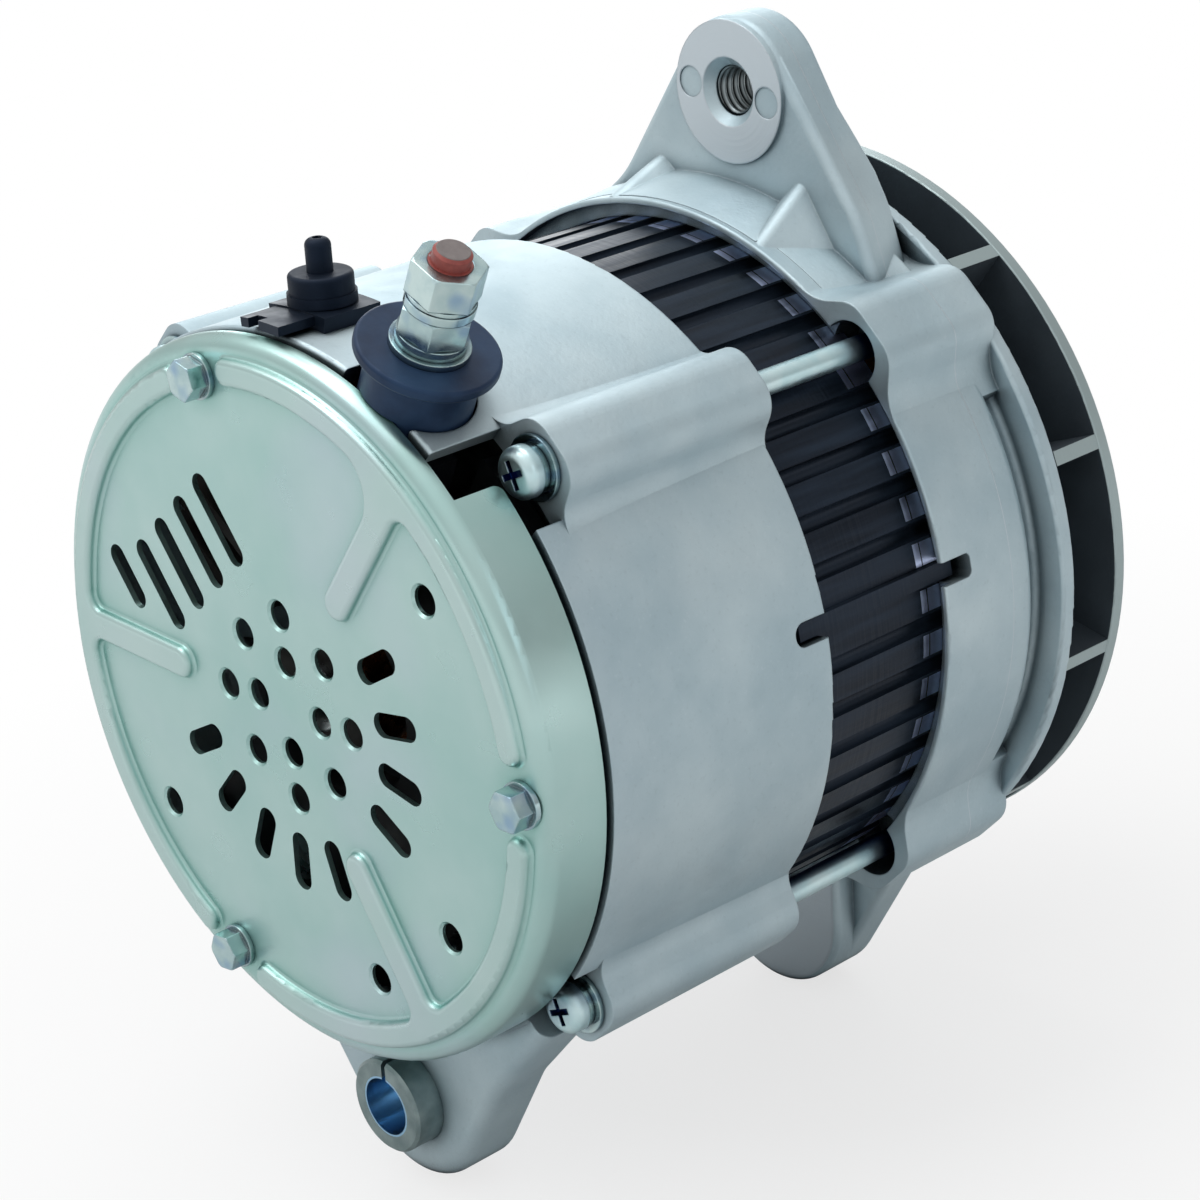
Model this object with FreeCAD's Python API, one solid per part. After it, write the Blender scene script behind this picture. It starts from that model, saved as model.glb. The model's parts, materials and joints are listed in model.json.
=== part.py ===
import FreeCAD, Part
import math
import os

# Heavy-duty vehicle alternator with an outside fan, hung on a pivot bolt below the shaft.
# Lengths in millimetres. The shaft lies along Y: 0 is the flat face of the rear cover, and Y grows
# towards the fan. Angles are seen from the rear cover and turn from +X towards +Z.
# Everything is modelled about the shaft and moved at the end, so that the origin of the
# finished part lies on the pivot bolt's axis, at the front face of the front foot.

os.makedirs("parts", exist_ok=True)

# Clearances
slip = 0.1            # radial, between fixed round pieces that slide together
bearing_fit = 0.02    # radial, between a bearing ring and its seat
running_gap = 0.45    # radial, between the rotor poles and the stator bore
touch_gap = 0.3       # between pieces that move past each other
screw_fit = 0.05      # radial, between a screw and its hole in a casting
thread_fit = 0.02     # radial, between a nut and its stud or shaft
hexagon_crown = 0.93  # flat end circle of a nut or bolt head, as a share of its corners' circle

# Rear cover: pressed sheet with a raised ring, three raised ribs and cooling holes
cover_radius = 72.06
cover_depth = 14.0
skirt_corner = 1.8
sheet = 1.2
cover_corner = 3.2
bead_inner_radius = 62.7
bead_width = 5.3
bead_height = 1.8
bead_gap_angle = 8.4
bead_plan_round = 3.0
bead_wide_round = 8.0
bead_edge_round = 1.3
bead_foot_round = 0.7
rib_width = 6.6
rib_inner_radius = 33.0
cover_rib_angles = (49.8, 174.8, 299.3)
skirt_open_from = 42.6
skirt_open_to = 142.6
skirt_open_gap = 0.4
cover_bolt_clearance = 0.3
cover_bolts_at = ((64.7, 101.2), (66.4, -2.8), (64.2, -116.6))
cover_bolt_flange = 4.5
cover_bolt_flats = 7.0
cover_bolt_head = 3.6
cover_bolt_plate = 1.1
cover_bolt_length = 14.0
hole_radius = 2.85
hole_chamfer = 0.5
centre_holes = ((9.4, 4, -5.7), (18.8, 4, -3.2), (17.1, 4, 41.8))
lone_hole_ring = 54.5
lone_hole_angles = (33.5, -146.3, -42.0, -72.1)
window_inner = 26.4
window_outer = 38.6
window_width = 5.0
window_start = 26.3
window_pitch = 20.3
window_places = (0, 1, 2, 3, 5, 6, 7, 8, 9)
slot_width = 4.8
slot_length = 19.6
short_slot_length = 14.0
short_slot_shift = 6.4
slot_pitch = 9.55
slot_count = 4
slot_row_radius = 37.8
slot_row_angle = 111.8
slot_row_direction = 216.6
slot_direction = 123.8

# Housings: two castings that clamp the stator between them
barrel_radius = 73.65
barrel_rear_radius = 72.6
front_barrel_radius = 75.0
barrel_wall = 4.2
rear_edge_gap = 3.8
rear_register_clearance = 0.35
register_depth = 15.2
bay_depth = 28.0
rear_wall = 5.0
rear_winding_room = 27.0
rear_lap = 6.0
core_seat = 1.4
front_lap = 5.5
lip_recess_radius = 73.8
lip_recess_depth = 3.0
front_winding_room = 17.2
front_wall = 6.0
barrel_groove = 4.5
groove_radius = 72.0
flange_radius = 79.1
flange_thickness = 3.7

window_count = 8
rear_window_from_boss = 5.0
rear_window_from_barrel = 8.0
rear_window_angle = 24.0
rear_window_start = 20.0
front_window_from_boss = 4.0
front_window_from_groove = 9.0
front_window_angle = 30.0

# Through bolts outside the stator
bolt_circle = 74.5
bolt_start_angle = 42.3
bolt_count = 4
bolt_thread = 5.0
bolt_head_radius = 4.9
bolt_head_height = 3.4
bolt_head_round = 2.0
cross_recess_length = 5.4
cross_recess_width = 1.2
cross_recess_depth = 1.9
cross_recess_turn = 20.0
spring_washer_radius = 4.7
spring_washer_thickness = 1.4
flat_washer_radius = 6.2
flat_washer_thickness = 1.0
bolt_grip_depth = 19.0
boss_top = 7.4
boss_half_top = 6.5
boss_half_base = 9.8
boss_reach = 17.5
boss_foot_sink = 1.1
boss_side_sink = 1.1
boss_round = 6.0
front_boss_half_base = 12.5
front_boss_reach = 17.5
front_boss_round = 11.0
front_boss_side_sink = 0.85
front_boss_foot_sink = 0.3
front_boss_end_round = 1.5
front_boss_lap = 2.0
pocket_half_width = 10.0
pocket_floor_radius = 64.0
bolt_seat_from_edge = 16.1
rod_pocket_radius = 6.6
rod_pocket_depth = 10.0

# Pivot feet and adjusting ear
pivot_radius = 88.9
pivot_bolt = 12.0
pivot_clearance = 0.1
foot_flare_depth = 14.0
rear_foot_face = 15.5
rear_foot_length = 14.0
rear_foot_radius = 18.4
rear_foot_flank = 57.0
rear_foot_waist = 8.5
rear_foot_flare = 48.0
rear_foot_edge_round = 3.2
front_foot_length = 14.5
front_foot_proud = 0.5
front_foot_radius = 18.6
front_foot_flank = 55.6
front_foot_waist = 14.0
front_foot_flare = 50.0
front_foot_plate = 9.0
front_foot_edge_round = 1.5
boss_flank = 86.0
boss_flare = 20.0
foot_waist_round = 14.0
foot_inner_round = 1.5
bush_outer_radius = 10.0
bush_length = 20.5
bush_proud = 6.5
bush_slit = 1.2
bush_slit_angle = 85.0
ear_angle = 81.2
ear_radius = 95.9
ear_end_radius = 14.8
ear_face = 115.0
ear_thickness = 12.3
ear_pad_height = 0.8
ear_pad_inset = 0.4
ear_left_flank = (-31.0, 71.9)
ear_left_base = (-42.0, 61.5)
ear_left_round = 28.0
ear_right_flank = (35.0, 77.5)
ear_right_base = (42.0, 62.0)
ear_right_round = 20.0
ear_right_draft = 5.0
ear_taper_top = 94.0
ear_taper_foot = 82.0
ear_taper = 3.0
ear_edge_round = 1.8
ear_mark_radius = 3.1
ear_mark_place = 10.4
ear_mark_depth = 0.25
saddle_radius = 78.0
saddle_half_angle = 15.0
saddle_from_lip = 1.5
shoulder_radius = 77.4
shoulder_start = 106.0
shoulder_from_angle = 44.0
shoulder_to_angle = 128.0
gusset_place = 19.5
gusset_tops = (79.5, 83.5)
gusset_half = 12.0
gusset_round = 2.5
gusset_overrun = 1.5
gusset_from_lip = 0.6
ear_tap_radius = 5.1
ear_countersink = 7.0
ear_countersink_depth = 1.9

# Stator
core_radius = 70.5
core_length = 42.5
core_rib_count = 48
core_rib_phase = -5.3
core_groove_depth = 1.9
core_groove_width = 3.4
stator_bore = 50.4
slot_count_stator = 36
slot_bottom_radius = 62.5
slot_width_stator = 4.6
slot_mouth = 2.4
slot_mouth_depth = 1.6
weld_angle = 6.3
weld_width = 3.4
weld_height = 1.5
weld_overrun = 2.4
weld_slot_clearance = 1.4
weld_slot_round = 2.3
front_slot_round = 1.3
winding_inner = 52.4
winding_outer = 65.2
winding_overhang = 16.0
winding_round = 5.0
winding_off_core = 0.5

# Rotor
claw_count = 6
pole_plate = 12.0
claw_root_width = 25.0
claw_tip_width = 10.0
claw_root_depth = 12.5
claw_tip_depth = 4.5
claw_tip_gap = 3.5
pole_seat_radius = 13.0
hub_radius = 21.0
coil_gap = 0.6
coil_clear_of_claws = 1.4
rotor_rear_gap = 3.0

# Shaft
shaft_rear_radius = 7.0
rear_journal_radius = 8.5
shaft_waist_radius = 11.0
shaft_shoulder_radius = 15.5
front_journal_radius = 12.5
drive_seat_radius = 11.0
thread_radius = 9.0
shaft_rear_end = 6.0
slip_ring_radius = 14.0
slip_ring_width = 7.0
slip_ring_gap = 3.0
slip_ring_start = 10.0
slip_sleeve_rim = 2.0
slip_ring_thickness = 2.2
slip_ring_step = 0.8

# Bearings
rear_bearing_outer = 20.0
rear_bearing_width = 12.0
rear_boss_wall = 5.5
rear_bearing_lip = 4.5
front_bearing_outer = 31.0
front_bearing_width = 17.0
front_boss_wall = 6.0
front_bearing_lip = 2.5
front_boss_nose = 2.8
race_thickness = 4.2
cage_thickness = 1.2
cage_inset = 1.5
ball_count = 8
ball_share = 0.3
land_share = 0.55
ball_clearance = 0.04
retainer_thickness = 3.0
retainer_inner = 22.0
retainer_screw_ring = 33.8
retainer_screw_count = 4
retainer_screw_start = 20.0
retainer_screw_radius = 1.9
retainer_screw_grip = 7.0
retainer_head_radius = 3.4
retainer_head_height = 1.6
retainer_inset = 0.8

# Fan and pulley
fan_radius = 77.4
fan_gap = 1.8
blade_depth = 13.0
blade_thickness = 3.0
blade_inner_radius = 44.0
blade_inset = 0.2
blade_count = 11
blade_start_angle = 48.9
fan_disc = 3.0
fan_hub_radius = 19.0
spacer_proud = 1.4
spacer_radius = 16.5
pulley_radius = 34.5
pulley_width = 28.0
pulley_groove_depth = 10.0
pulley_groove_top = 11.6
pulley_groove_bottom = 4.6
pulley_groove_pitch = 13.6
pulley_hub_radius = 17.5
pulley_rim = 12.0
pulley_dish = 7.0
pulley_from_fan = 1.0
shaft_washer_radius = 16.0
shaft_washer_thickness = 2.6
shaft_nut_flats = 27.0
shaft_nut_height = 13.0
shaft_end_overrun = 2.8

# Terminals on the barrel
stud_angle = 61.0
stud_place = 12.7
stud_radius = 4.0
stud_proud = 2.7
insulator_radius = 13.25
insulator_plate = 2.3
insulator_stand = 6.55
insulator_round = 0.7
collar_radius = 10.4
collar_reach = 1.5
notch_clearance = 0.4
stud_tip_radius = 3.55
stud_tip_length = 2.6
stud_tip_chamfer = 0.6
stud_washer_radius = 7.4
stud_washer = 1.3
stud_spring_washer_radius = 6.5
stud_upper_washer_radius = 6.4
stud_upper_spring_radius = 6.2
stud_spring_washer = 2.0
stud_upper_washer = 1.8
stud_upper_spring_washer = 0.9
stud_nut_flats = 12.0
stud_nut_height = 6.5
stud_lower_nut_height = 5.5
stud_lower_nut_turn = 12.0
second_angle = 86.0
second_place = 17.0
second_post_radius = 2.5
cap_seat_radius = 75.6
cap_ring_radius = 6.5
cap_ring_height = 1.9
cap_radius = 6.1
cap_height = 3.7
cap_wall = 2.0
nipple_radius = 2.45
nipple_height = 6.3
tab_thickness = 2.9
pedestal_radius = 4.6
tab_pad_half_angle = 6.2
tab_pad_rear = 10.8
tab_front = 23.8
tongue_from_angle = 82.0
tongue_to_angle = 90.5
tongue_rear = 2.6
tongue_notch_angle = 87.6
tongue_notch_width = 3.0
tongue_notch_depth = 2.2
tongue_sunk = 0.3
tongue_thickness = 1.8
pedestal_foot = 63.5
second_head_radius = 4.4
second_head_height = 2.0
second_post_proud = 3.9
nipple_hole = 0.9
nipple_hole_depth = 2.0
cap_hollow = 4.4

# Rectifier, regulator and brush gear behind the cover
plate_inner_radius = 23.0
plate_outer_radius = 61.0
plate_thickness = 3.0
plate_from_angle = -150.0
plate_to_angle = 52.0
outer_plate_place = 9.6
plate_gap = 11.0
post_radius = 4.6
plate_post_ring = 56.0
plate_screw_radius = 2.0
plate_screw_flats = 7.0
plate_screw_head = 3.0
sleeve_radius = 3.2
sleeve_rim = 1.2
diode_ring = 42.0
diode_radius = 6.4
diode_height = 5.0
diode_lead_radius = 1.2
diodes_per_plate = 3
lug_depth = 8.0
lug_width = 16.0
lug_height = 9.0
stud_sunk = 1.0
regulator_angle = 140.0
regulator_radius = 43.0
regulator_width = 34.0
regulator_height = 26.0
regulator_base_place = 22.0
regulator_fin_count = 6
regulator_fin_height = 7.0
brush_angle = 90.0
brush_width = 7.5
brush_depth = 5.2
brush_length = 15.0
brush_cavity = 23.5
brush_holder_wall = 2.6
brush_holder_gap = 2.5
brush_holder_roof = 3.0
brush_stem_height = 13.0
spring_inside_brush = 0.3
spring_wall = 0.7


def point(x, y, z):
    return FreeCAD.Vector(x, y, z)


def polar(radius, angle, y=0.0):
    """Point at a radius and angle about the shaft."""
    return point(radius * math.cos(math.radians(angle)), y, radius * math.sin(math.radians(angle)))


def turn(shape, angle):
    """Copy of a shape turned about the shaft, from +X towards +Z."""
    copy = shape.copy()
    copy.rotate(point(0, 0, 0), point(0, -1, 0), angle)
    return copy


def ring_of(shape, count, start=0.0):
    """Copies of a shape at even angles about the shaft."""
    return [turn(shape, start + 360.0 * i / count) for i in range(count)]


def rounded_wire(corners, place):
    """Closed wire through corners (a, b, rounding), with a tangent arc at each rounded corner."""
    arcs = []
    for i, (a, b, rounding) in enumerate(corners):
        here = FreeCAD.Vector(a, b, 0)
        if rounding == 0:
            arcs.append((here, None, here))
            continue
        before = FreeCAD.Vector(corners[i - 1][0], corners[i - 1][1], 0) - here
        after_corner = corners[(i + 1) % len(corners)]
        after = FreeCAD.Vector(after_corner[0], after_corner[1], 0) - here
        before.normalize()
        after.normalize()
        half = before.getAngle(after) / 2.0
        middle = before + after
        middle.normalize()
        reach = rounding / math.tan(half)
        crown = here + middle * (rounding / math.sin(half) - rounding)
        arcs.append((here + before * reach, crown, here + after * reach))
    edges = []
    for i, (start, crown, end) in enumerate(arcs):
        if crown is not None:
            edges.append(Part.Arc(place(start), place(crown), place(end)).toShape())
        following = arcs[(i + 1) % len(arcs)][0]
        if (following - end).Length > 1e-6:
            edges.append(Part.LineSegment(place(end), place(following)).toShape())
    return Part.Wire(edges)


def turned(corners, angle=360.0, start=0.0):
    """Solid of revolution about the shaft from corners (radius, y, rounding)."""
    wire = rounded_wire(corners, lambda p: point(p.x, p.y, 0))
    solid = Part.Face(wire).revolve(point(0, 0, 0), point(0, -1, 0), angle)
    return turn(solid, start)


def prism(corners, y_from, y_to):
    """Solid along the shaft from corners (x, z, rounding)."""
    wire = rounded_wire(corners, lambda p: point(p.x, y_from, p.y))
    return Part.Face(wire).extrude(point(0, y_to - y_from, 0))


def cylinder(radius, y_from, y_to, centre_radius=0.0, angle=0.0):
    """Round bar along the shaft direction."""
    base = polar(centre_radius, angle, y_from)
    return Part.makeCylinder(radius, y_to - y_from, base, point(0, 1, 0))


def tube(outer, inner, y_from, y_to):
    return cylinder(outer, y_from, y_to).cut(cylinder(inner, y_from - 1, y_to + 1))


def radial_bar(radius, r_from, r_to, angle, y):
    """Round bar pointing away from the shaft."""
    return Part.makeCylinder(radius, r_to - r_from, polar(r_from, angle, y), polar(1, angle))


def radial_box(width, r_from, r_to, y_from, y_to, angle):
    """Block that points away from the shaft, width across."""
    box = Part.makeBox(r_to - r_from, y_to - y_from, width, point(r_from, y_from, -width / 2.0))
    return turn(box, angle)


def hexagon(flats, height, base, direction, turned_by=0.0):
    """Hexagonal bar for a nut or bolt head."""
    across = flats / 2.0 / math.cos(math.radians(30))
    corners = [point(across * math.cos(math.radians(60 * i + turned_by)),
                     across * math.sin(math.radians(60 * i + turned_by)), 0) for i in range(7)]
    bar = Part.Face(Part.makePolygon(corners)).extrude(point(0, 0, height))
    bar = chamfered_hexagon(bar, across, height)
    bar.Placement = FreeCAD.Placement(base, FreeCAD.Rotation(point(0, 0, 1), direction))
    return bar


def chamfered_hexagon(bar, across, height):
    """Turns the corners off the far end of a hexagonal bar at 30 degrees."""
    crown = hexagon_crown * across
    depth = (across + height) * math.tan(math.radians(30))
    limit = Part.makeCone(crown + across + height, crown, depth, point(0, 0, height - depth))
    return bar.common(limit)


def join(shapes):
    """One clean solid from several that touch."""
    first = shapes[0]
    return first.multiFuse(shapes[1:]).removeSplitter()


def cut_all(shape, tools):
    return shape.cut(Part.makeCompound(tools))


# Stations along the shaft, each from the one behind it
rear_edge = sheet + rear_edge_gap
bay_floor = rear_edge + bay_depth
rear_wall_front = bay_floor + rear_wall
core_rear = rear_wall_front + rear_winding_room
core_front = core_rear + core_length
rear_housing_front = core_rear + rear_lap
front_lip = core_front - front_lap
front_wall_rear = core_front + front_winding_room + barrel_groove
flange_front = front_wall_rear + front_wall
flange_rear = flange_front - flange_thickness
groove_rear = flange_rear - barrel_groove
rear_bearing_rear = bay_floor + rear_bearing_lip
rear_bearing_front = rear_bearing_rear + rear_bearing_width
front_bearing_front = flange_front + front_boss_nose - front_bearing_lip
front_bearing_rear = front_bearing_front - front_bearing_width
rotor_middle = (core_rear + core_front) / 2.0
rotor_rear = core_rear - rotor_rear_gap
rotor_front = core_front + rotor_rear_gap
bolt_angles = [bolt_start_angle + 360.0 * i / bolt_count for i in range(bolt_count)]
bolt_seat = rear_edge + bolt_seat_from_edge
blade_rear = flange_front + fan_gap
fan_rear = blade_rear + blade_depth
fan_front = fan_rear + fan_disc
pulley_rear = fan_front + pulley_from_fan
pulley_front = pulley_rear + pulley_width
washer_front = pulley_front + shaft_washer_thickness
nut_front = washer_front + shaft_nut_height
front_foot_face = flange_front + front_foot_proud
front_foot_rear = front_foot_face - front_foot_length
inner_plate_place = outer_plate_place + plate_thickness + plate_gap
slip_sleeve_start = slip_ring_start - slip_sleeve_rim
slip_sleeve_end = slip_ring_start + 2 * slip_ring_width + slip_ring_gap + slip_sleeve_rim
spacer_front = flange_front + front_boss_nose + spacer_proud
insulator_top_radius = barrel_radius + insulator_stand + insulator_plate


# Rear cover
def raised_network(height_from, height_to, shrink):
    """Plan of the raised ring and its ribs, as a plain slab."""
    inner = bead_inner_radius + shrink
    outer = bead_inner_radius + bead_width - shrink
    ring = tube(outer, inner, height_from, height_to)
    gaps = []
    ends = []
    for radius, angle in cover_bolts_at:
        wedge = turned([(inner - 6, height_from - 1, 0), (outer + 6, height_from - 1, 0),
                        (outer + 6, height_to + 1, 0), (inner - 6, height_to + 1, 0)],
                       2 * bead_gap_angle, angle - bead_gap_angle)
        gaps.append(wedge)
        for side in (-1, 1):
            ends.append(cylinder((outer - inner) / 2.0, height_from, height_to, (outer + inner) / 2.0,
                                 angle + side * bead_gap_angle))
    ring = cut_all(ring, gaps)
    slab = [ring] + ends
    half = rib_width / 2.0 - shrink
    for angle in cover_rib_angles:
        bar = radial_box(2 * half, rib_inner_radius, inner + 1.5, height_from, height_to, angle)
        tip = cylinder(half, height_from, height_to, rib_inner_radius, angle)
        slab.append(bar.fuse(tip))
    slab = slab[0].multiFuse(slab[1:]).removeSplitter()
    return round_rib_feet(slab)


def round_rib_feet(slab):
    """Rounds the corners where the ribs run into the ring; one of them is wide."""
    feet = []
    wide = []
    for edge in slab.Edges:
        ends = [v.Point for v in edge.Vertexes]
        if len(ends) != 2 or math.hypot(ends[0].x - ends[1].x, ends[0].z - ends[1].z) > 1e-4:
            continue
        spot = edge.CenterOfMass
        bearing = math.degrees(math.atan2(spot.z, spot.x))
        away = [(bearing - a + 180) % 360 - 180 for a in cover_rib_angles]
        if abs(math.hypot(spot.x, spot.z) - bead_inner_radius) > 2.0 or min(map(abs, away)) > 6:
            continue
        if 0 < away[0] < 6:
            wide.append(edge)
        else:
            feet.append(edge)
    spots = [e.CenterOfMass for e in wide]
    slab = slab.makeFillet(bead_plan_round, feet)
    wide = [e for e in slab.Edges if any((e.CenterOfMass - p).Length < 1e-3 for p in spots)]
    return slab.makeFillet(bead_wide_round, wide)


def face_edges(shape, y):
    """Edges that lie wholly at one station along the shaft."""
    found = []
    for edge in shape.Edges:
        box = edge.BoundBox
        if abs(box.YMin - y) < 1e-4 and abs(box.YMax - y) < 1e-4:
            found.append(edge)
    return found


def slotted(width, length, centre, direction):
    """Cutter for a slot with round ends through the cover face."""
    along = polar(length / 2.0 - width / 2.0, direction)
    ends = [centre + along, centre - along]
    deep = [Part.makeCylinder(width / 2.0, 12, point(e.x, -6, e.z), point(0, 1, 0)) for e in ends]
    body = Part.makeBox(length - width, 12, width, point(-(length - width) / 2.0, -6, -width / 2.0))
    body = turn(body, direction)
    body.translate(point(centre.x, 0, centre.z))
    return deep[0].fuse(deep[1]).fuse(body)


def cover_hole(radius, angle):
    """Cutters for a round hole with a chamfered rim."""
    rim = Part.makeCone(hole_radius + hole_chamfer + 1, hole_radius, hole_chamfer + 1,
                        polar(radius, angle, -1), point(0, 1, 0))
    return [cylinder(hole_radius, -6, 6, radius, angle), rim]


def rear_cover():
    cup = turned([(0, 0, 0), (cover_radius, 0, cover_corner), (cover_radius, cover_depth, 0),
                  (cover_radius - sheet, cover_depth, 0),
                  (cover_radius - sheet, sheet, cover_corner - sheet), (0, sheet, 0)])
    raised = raised_network(-bead_height, sheet / 2.0, 0.0)
    raised = raised.makeFillet(bead_edge_round, face_edges(raised, -bead_height))
    cup = cup.fuse(raised).removeSplitter()
    foot_line = [e for e in face_edges(cup, 0.0) if e.BoundBox.DiagonalLength < 2 * cover_radius - 8
                 or abs(e.BoundBox.XMax - cover_radius) > cover_corner + 0.5]
    cup = cup.makeFillet(bead_foot_round, foot_line)
    hollow = raised_network(sheet - bead_height, sheet + 0.5, sheet - 0.1)
    cup = cup.cut(hollow)
    tools = []
    opening = skirt_open_to - skirt_open_from
    far = cover_radius + 3
    near = cover_radius - sheet - 1
    start = cover_corner + skirt_open_gap
    tools.append(turned([(near, start, 0), (far, start, 0),
                         (far, cover_depth + 1, 0), (near, cover_depth + 1, 0)],
                        opening, skirt_open_from))
    for radius, count, start in centre_holes:
        for i in range(count):
            tools += cover_hole(radius, start + 360.0 * i / count)
    for angle in lone_hole_angles:
        tools += cover_hole(lone_hole_ring, angle)
    for radius, angle in cover_bolts_at:
        tools.append(cylinder(bolt_thread / 2.0 + cover_bolt_clearance, -6, 6, radius, angle))
    for place in window_places:
        angle = window_start - window_pitch * place
        middle = polar((window_inner + window_outer) / 2.0, angle)
        tools.append(slotted(window_width, window_outer - window_inner, middle, angle))
    for i in range(slot_count + 1):
        step = polar(slot_pitch * i, slot_row_direction)
        middle = polar(slot_row_radius, slot_row_angle) + step
        length = slot_length
        if i == slot_count:
            middle = middle + polar(short_slot_shift, slot_direction)
            length = short_slot_length
        tools.append(slotted(slot_width, length, middle, slot_direction))
    cup = cut_all(cup, tools)
    corners = []
    for edge in cup.Edges:
        spot = edge.CenterOfMass
        angle = math.degrees(math.atan2(spot.z, spot.x))
        at_end = min(abs(angle - skirt_open_from), abs(angle - skirt_open_to)) < 0.2
        if at_end and abs(spot.y - cover_depth) < 1e-3 and edge.BoundBox.YLength < 1e-4:
            corners.append(edge)
    return cup.makeFillet(skirt_corner, corners)


# Cover bolts: flanged hexagon heads that screw into posts of the rear housing

def cover_bolt(radius, angle):
    flange = cylinder(cover_bolt_flange, -cover_bolt_plate, 0, radius, angle)
    head = hexagon(cover_bolt_flats, cover_bolt_head, polar(radius, angle, -cover_bolt_plate),
                   point(0, -1, 0), angle)
    shank = cylinder(bolt_thread / 2.0, 0, cover_bolt_length, radius, angle)
    return join([flange, head, shank])


# Castings
def bolt_boss(y_from, y_to, angle, radius, inner, half_base, reach, rounding, side_sink, foot_sink,
              end_round):
    """Smooth bulge on a barrel round a through bolt; its feet end under the barrel's skin."""
    low = math.sqrt(radius ** 2 - reach ** 2) - foot_sink
    base = inner + 0.5
    side = radius - side_sink
    top = bolt_circle + boss_top
    corners = [(-reach, base, 0), (-reach, low, 0), (-half_base, side, rounding),
               (-boss_half_top, top, boss_round), (boss_half_top, top, boss_round),
               (half_base, side, rounding), (reach, low, 0), (reach, base, 0)]
    boss = prism(corners, y_from, y_to)
    if end_round > 0:
        boss = boss.makeFillet(end_round, [e for e in face_edges(boss, y_to)
                                           if e.BoundBox.ZMax > low + 0.5])
    return turn(boss, angle - 90)


def foot(y_from, y_to, end_radius, flank, waist, flare, edge_round, front_round):
    """Pivot foot below the barrel: a round end whose sloping flanks flare out into the barrel."""
    lean = math.radians(flank)
    apex = -pivot_radius - end_radius / math.cos(lean)
    waist_half = (end_radius + waist * math.cos(lean)) / math.sin(lean)
    top = -barrel_radius + foot_flare_depth
    corners = [(0, apex, end_radius), (waist_half, -pivot_radius + waist, foot_waist_round),
               (flare, top, 0), (-flare, top, 0), (-waist_half, -pivot_radius + waist, foot_waist_round)]
    block = prism(corners, y_from, y_to)
    for y, rounding in ((y_from, edge_round), (y_to, front_round)):
        if rounding > 0:
            rim = [e for e in face_edges(block, y) if e.BoundBox.ZMin < top - 1]
            block = block.makeFillet(rounding, rim)
    return outside(block, barrel_radius - 2)


def outside(shape, radius):
    """What remains of a shape outside a barrel of this radius."""
    return shape.cut(cylinder(radius, -10, 300))


def tangent_angle(spot):
    """Direction in which a flank through a spot touches the round end of the ear."""
    across = abs(spot[0])
    down = ear_radius - spot[1]
    lean = math.acos(ear_end_radius / math.hypot(across, down)) - math.atan2(down, across)
    return lean if spot[0] > 0 else math.pi - lean


def ear_outline(draft):
    """Corners of the ear, seen from behind with the ear upright."""
    right = (ear_right_flank[0] - draft, ear_right_flank[1])
    first = tangent_angle(right)
    second = tangent_angle(ear_left_flank)
    middle = (first + second) / 2.0
    reach = ear_end_radius / math.cos((second - first) / 2.0)
    return [ear_left_base + (0,), ear_left_flank + (ear_left_round,),
            (reach * math.cos(middle), ear_radius + reach * math.sin(middle), ear_end_radius),
            right + (ear_right_round,), (ear_right_base[0] - draft, ear_right_base[1], 0)]


def ear_plate():
    """Ear's plate: round end, flanks that flare at the barrel, front face thicker at its foot."""
    rear = ear_face + ear_pad_height
    front = ear_face + ear_thickness
    foremost = front + ear_taper
    wires = [rounded_wire(ear_outline(draft), lambda p, y=y: point(p.x, y, p.y))
             for y, draft in ((rear, 0.0), (foremost, ear_right_draft))]
    plate = Part.makeLoft(wires, True, True)
    top = ear_radius + 2 * ear_end_radius
    side = [(front, top, 0), (front, ear_taper_top, 0), (foremost, ear_taper_foot, 0),
            (foremost + 5, ear_taper_foot, 0), (foremost + 5, top, 0)]
    wire = rounded_wire(side, lambda p: point(-60, p.x, p.y))
    plate = plate.cut(Part.Face(wire).extrude(point(120, 0, 0)))
    rim = []
    for edge in plate.Edges:
        box = edge.BoundBox
        crease = box.XLength > 1 and box.YLength < 1e-6 and box.ZLength < 1e-6
        on_rim = box.YMin > front - 1 or box.YMax < rear + 1
        if on_rim and not crease and box.ZMax > ear_left_flank[1] - 5:
            rim.append(edge)
    return plate.makeFillet(ear_edge_round, rim)


def gusset(side, top):
    """Sloping web between the ear's rear face and the barrel, with a rounded ridge."""
    back = ear_face + ear_pad_height + 1.2
    peak = point(-gusset_place, back, top)
    toe = point(-gusset_place - 0.5, front_lip + 1.0, front_barrel_radius - 1.8)
    near = point(-gusset_place + gusset_half * 0.75, back, front_barrel_radius - 1.2)
    far = point(-gusset_place - gusset_half, back, front_barrel_radius - 7.0)
    toe, near, far = [peak + (corner - peak) * gusset_overrun for corner in (toe, near, far)]
    faces = []
    for a, b, c in ((peak, toe, near), (peak, toe, far), (peak, near, far), (toe, near, far)):
        faces.append(Part.Face(Part.makePolygon([a, b, c, a])))
    solid = Part.Solid(Part.Shell(faces))
    ridge = [e for e in solid.Edges if (e.CenterOfMass - (peak + toe) * 0.5).Length < 1e-3]
    solid = solid.makeFillet(gusset_round, ridge)
    reach = 2 * ear_radius
    clip = Part.makeBox(reach, ear_face, reach, point(-reach / 2.0, front_lip + gusset_from_lip, 0))
    solid = solid.common(clip)
    return solid.mirror(point(0, 0, 0), point(1, 0, 0)) if side > 0 else solid


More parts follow.
